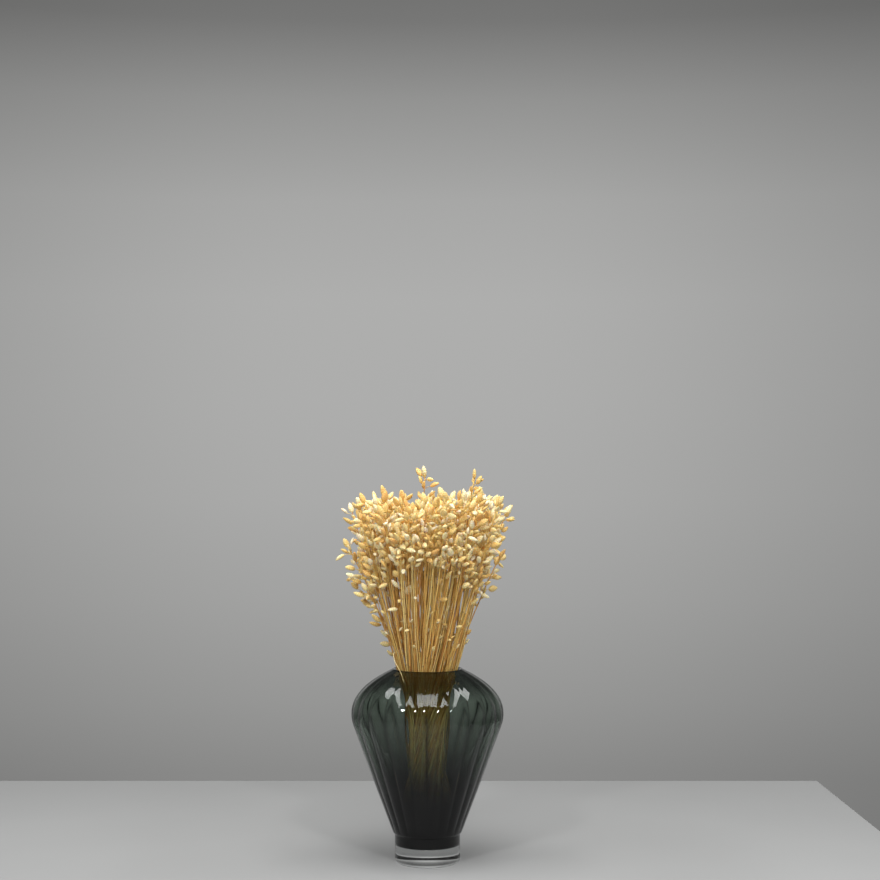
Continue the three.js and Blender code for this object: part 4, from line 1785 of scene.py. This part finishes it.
@dataclass(frozen=True)
class Blade:
    """A thin dry leaf blade that leaves a stem and bends down over the vase's rim, in millimetres."""

    root_near: tuple[float, float, float] = (-36.0, -20.0, 262.0)
    path: tuple[tuple[float, float, float], ...] = (
        (-41.0, -28.0, 262.0),
        (-40.5, -34.0, 254.0),
        (-36.5, -40.0, 246.5),
        (-32.0, -49.0, 239.6),
        (-28.0, -60.5, 229.6),
    )
    half_width: float = 0.6
    half_thickness: float = 0.16
    flat_side: tuple[float, float, float] = (0.8, -0.6, 0.1)
    root_share: float = 0.35
    widening: float = 0.25
    narrowing: float = 0.85
    rings: int = 25
    corners: int = 8

    def skin(self, branches: list[Branch]) -> Skin:
        """Make the blade as a flat lens-shaped section along a smooth curve.

        The curve is a Catmull-Rom spline through the root on the nearest stem and the path. The half-width
        widens smoothly from the root, and narrows with the square of the share of the way.

        Args:
            branches: The stems that it may grow on.

        Returns:
            The closed skin.
        """
        near = np.array(self.root_near)
        branch = min(branches, key=lambda one: np.linalg.norm(one.curve(near[2]) - near))
        points = np.array([branch.curve(near[2]), *self.path])
        points = np.concatenate([2 * points[:1] - points[1:2], points, 2 * points[-1:] - points[-2:-1]])
        at = np.linspace(0, len(points) - 3 - 1e-6, self.rings)
        run = at.astype(int)
        t = (at - run)[:, None]
        before, low, high, after = (points[run + step] for step in range(4))
        line = 0.5 * (
            2 * low
            + (high - before) * t
            + (2 * before - 5 * low + 4 * high - after) * t**2
            + (3 * low - before - 3 * high + after) * t**3
        )
        share = np.linspace(0, 1, self.rings)
        widening = self.root_share + (1 - self.root_share) * smoothstep(share, 0, self.widening)
        width = self.half_width * widening * (1 - self.narrowing * share**2)
        along = unit(np.gradient(line, axis=0))
        across = square_to(np.array(self.flat_side) * np.ones_like(line), along)
        deep = np.cross(along, across) * self.half_thickness
        swell = np.ones((1, self.rings, self.corners))
        skin = loft(line[None], (across * width[:, None])[None], deep[None], line[None, [0, -1]], swell)
        return skin.with_values(husk=0.0, tone=0.9)


class GrassModel:
    """Turns the grown bunch into pieces: one for each frame node, and some for what grows between them."""

    fork_depth = 3.0
    tip_depth = 0.5
    start_share = 0.93
    stalk_share = 0.9

    def __init__(self, bunch: Bunch, finish: DriedGrass) -> None:
        """Keep the bunch and make its material."""
        self.bunch = bunch
        self.material = finish.material()
        self.stems = StemShape()
        self.head_shape = HeadShape()
        self.blade = Blade()

    def skins_of(self, branch: Branch) -> list[Skin]:
        """Make a branch's stem, its heads and their stalks.

        Args:
            branch: The branch.

        Returns:
            The closed skins.
        """
        rule = self.bunch.rule
        low = rule.fork_height - self.fork_depth
        if branch.is_thin:
            low = self.bunch.foot_of(branch.culm, branch.radius)
        start, end = self.start_share * branch.radius, self.stems.tip_share * branch.radius
        skins = [self.stems.stem(branch, low, branch.top + self.tip_depth, start, end)]
        heads = [head for head in self.bunch.heads if head.branch is branch]
        with_stalk = [head for head in heads if head.kind is not HeadKind.END]
        if heads:
            skins.append(self.head_shape.bodies(heads))
        if with_stalk:
            skins.append(self.head_shape.stalks(with_stalk, self.stalk_share * rule.stalk_radius))
        return skins

    def build_spray(self, spray: int) -> None:
        """Make the finer form of a frame node: a culm, its branches and all that grows on them."""
        rule = self.bunch.rule
        culm = self.bunch.culm(spray)
        own = [branch for branch in self.bunch.branches if branch.spray == spray]
        foot = self.bunch.foot_of(culm, rule.stem_radius)
        skins = [self.stems.trunk(culm, own[0], foot, rule.stem_radius)]
        for branch in own:
            skins += self.skins_of(branch)
        piece = make_piece(f"quaking_grass_{spray + 1:02d}", Skin.joined(skins), self.material)
        place(piece, Slot.STRAW, f"grass_spray_{spray + 1:02d}")

    def build_thin(self, group: int) -> None:
        """Make one group of the thin culms that grow between the others."""
        own = self.bunch.thin[group :: self.bunch.filling.groups]
        skins = [skin for branch in own for skin in self.skins_of(branch)]
        place(make_piece(f"thin_grass_{group + 1}", Skin.joined(skins), self.material), Slot.STRAW)

    def build(self) -> None:
        """Make every piece of the bunch."""
        for spray in range(self.bunch.rule.sprays):
            self.build_spray(spray)
        for group in range(self.bunch.filling.groups):
            self.build_thin(group)
        blade = make_piece("blade_over_rim", self.blade.skin(self.bunch.branches), self.material)
        place(blade, Slot.STRAW)


@dataclass(frozen=True)
class Panel:
    """A soft rectangular light: where it hangs, its size, its power, and whether it faces the object."""

    name: str
    place: tuple[float, float, float]
    size: tuple[float, float]
    power: float
    is_aimed: bool = False


@dataclass(frozen=True)
class Studio:
    """The camera, the table, the backdrop and the lights, in metres.

    The backdrop's tones, 0 to 255 on a screen, are listed by the height of the view's direction.
    """

    lens: float = 66.27
    sensor: float = 36.0
    camera_place: tuple[float, float, float] = (0.01566, -2.030, 0.475)
    camera_rise: float = 1.41
    table_low: tuple[float, float, float] = (-1.6, -1.7, -0.03)
    table_high: tuple[float, float, float] = (0.612, 0.543, -0.0003)
    table_rounding: float = 0.002
    aim: tuple[float, float, float] = (0.0, 0.0, 0.2)
    panels: tuple[Panel, ...] = (
        Panel("left_box", (-0.98, -0.3, 1.8), (0.42, 1.9), 18.5),
        Panel("middle_box", (0.03, -0.62, 1.8), (0.7, 1.5), 23.0),
        Panel("right_box", (1.0, -0.3, 1.8), (0.42, 1.9), 18.5),
        Panel("left_lamp", (-0.6, -1.45, 1.25), (0.14, 0.17), 7.8, is_aimed=True),
        Panel("right_lamp", (0.46, -1.5, 1.25), (0.14, 0.17), 7.8, is_aimed=True),
    )
    backdrop: tuple[tuple[float, int], ...] = (
        (-0.35, 118),
        (-0.175, 137),
        (-0.135, 148),
        (-0.073, 160),
        (-0.012, 168),
        (0.049, 171),
        (0.11, 172),
        (0.17, 165),
        (0.229, 145),
        (0.274, 117),
        (0.35, 96),
    )
    lightest_aside: float = -0.02
    falloff: tuple[float, float] = (0.05, 0.4)
    falloff_light: tuple[float, float] = (1.03, 0.74)

    def build_camera(self) -> None:
        """Set up the camera at the photograph's viewing angle."""
        data = bpy.data.cameras.new("camera")
        data.lens = self.lens
        data.sensor_width = self.sensor
        data.clip_end = 50
        camera = bpy.data.objects.new("camera", data)
        camera.location = self.camera_place
        camera.rotation_euler = (math.radians(90 + self.camera_rise), 0, 0)
        bpy.context.scene.collection.objects.link(camera)
        bpy.context.scene.camera = camera

    def build_table(self) -> None:
        """Make the table top as a slab with rounded edges."""
        low, high = np.array(self.table_low), np.array(self.table_high)
        corners = np.array([[x, y, z] for z in (0, 1) for y in (0, 1) for x in (0, 1)])
        points = low + corners * (high - low)
        quads = [[0, 2, 3, 1], [4, 5, 7, 6], [0, 1, 5, 4], [2, 6, 7, 3], [0, 4, 6, 2], [1, 3, 7, 5]]
        skin = Skin(points / MM, np.array(quads), np.zeros((0, 3), int))
        table = make_piece("table", skin, PaleLaminate().material())
        table.data.polygons.foreach_set("use_smooth", np.zeros(6, bool))
        edge = table.modifiers.new("rounded_edge", "BEVEL")
        edge.width = self.table_rounding
        edge.segments = 3

    def build_world(self) -> None:
        """Make the backdrop: a grey that is lightest a little above the horizon, by the view's direction."""
        world = bpy.data.worlds.new("backdrop")
        bpy.context.scene.world = world
        shader = Shader(world, "ShaderNodeOutputWorld")
        direction = shader.add("TexCoord").outputs["Generated"]
        height = shader.add("SeparateXYZ", {0: direction}).outputs["Z"]
        low, high = self.backdrop[0][0], self.backdrop[-1][0]
        share = shader.fitted(height, (low, high))
        tones = {(z - low) / (high - low): linear(tone, tone, tone - 1) for z, tone in self.backdrop}
        grey = shader.ramp(share, tones)
        aside = shader.add("SeparateXYZ", {0: direction}).outputs["X"]
        off_centre = shader.math("ABSOLUTE", shader.math("ADD", aside, -self.lightest_aside))
        dim = shader.fitted(off_centre, self.falloff, self.falloff_light, is_smooth=True)
        background = shader.add("Background", {0: grey, 1: dim})
        shader.finish("Surface", background.outputs[0])

    def build_panel(self, panel: Panel) -> None:
        """Hang a light and turn it to the object."""
        data = bpy.data.lights.new(panel.name, "AREA")
        data.shape = "RECTANGLE"
        data.size, data.size_y = panel.size
        data.energy = panel.power
        light = bpy.data.objects.new(panel.name, data)
        light.location = panel.place
        if panel.is_aimed:
            away = light.location - Vector(self.aim)
            light.rotation_euler = away.to_track_quat("Z", "Y").to_euler()
        bpy.context.scene.collection.objects.link(light)

    def build(self) -> None:
        """Set up everything round the object."""
        self.build_table()
        self.build_world()
        for panel in self.panels:
            self.build_panel(panel)
        bpy.context.scene.view_settings.view_transform = "Standard"


def main() -> None:
    """Build the camera, the vase, the grass and the studio, in that order."""
    logging.basicConfig(level=logging.INFO, format="%(message)s")
    studio = Studio()
    studio.build_camera()
    vase = Vase()
    vase.build()
    bunch = Bunch(vase, GrowthRule(), FillingRule())
    GrassModel(bunch, DriedGrass()).build()
    studio.build()


if __name__ == "__main__":
    main()
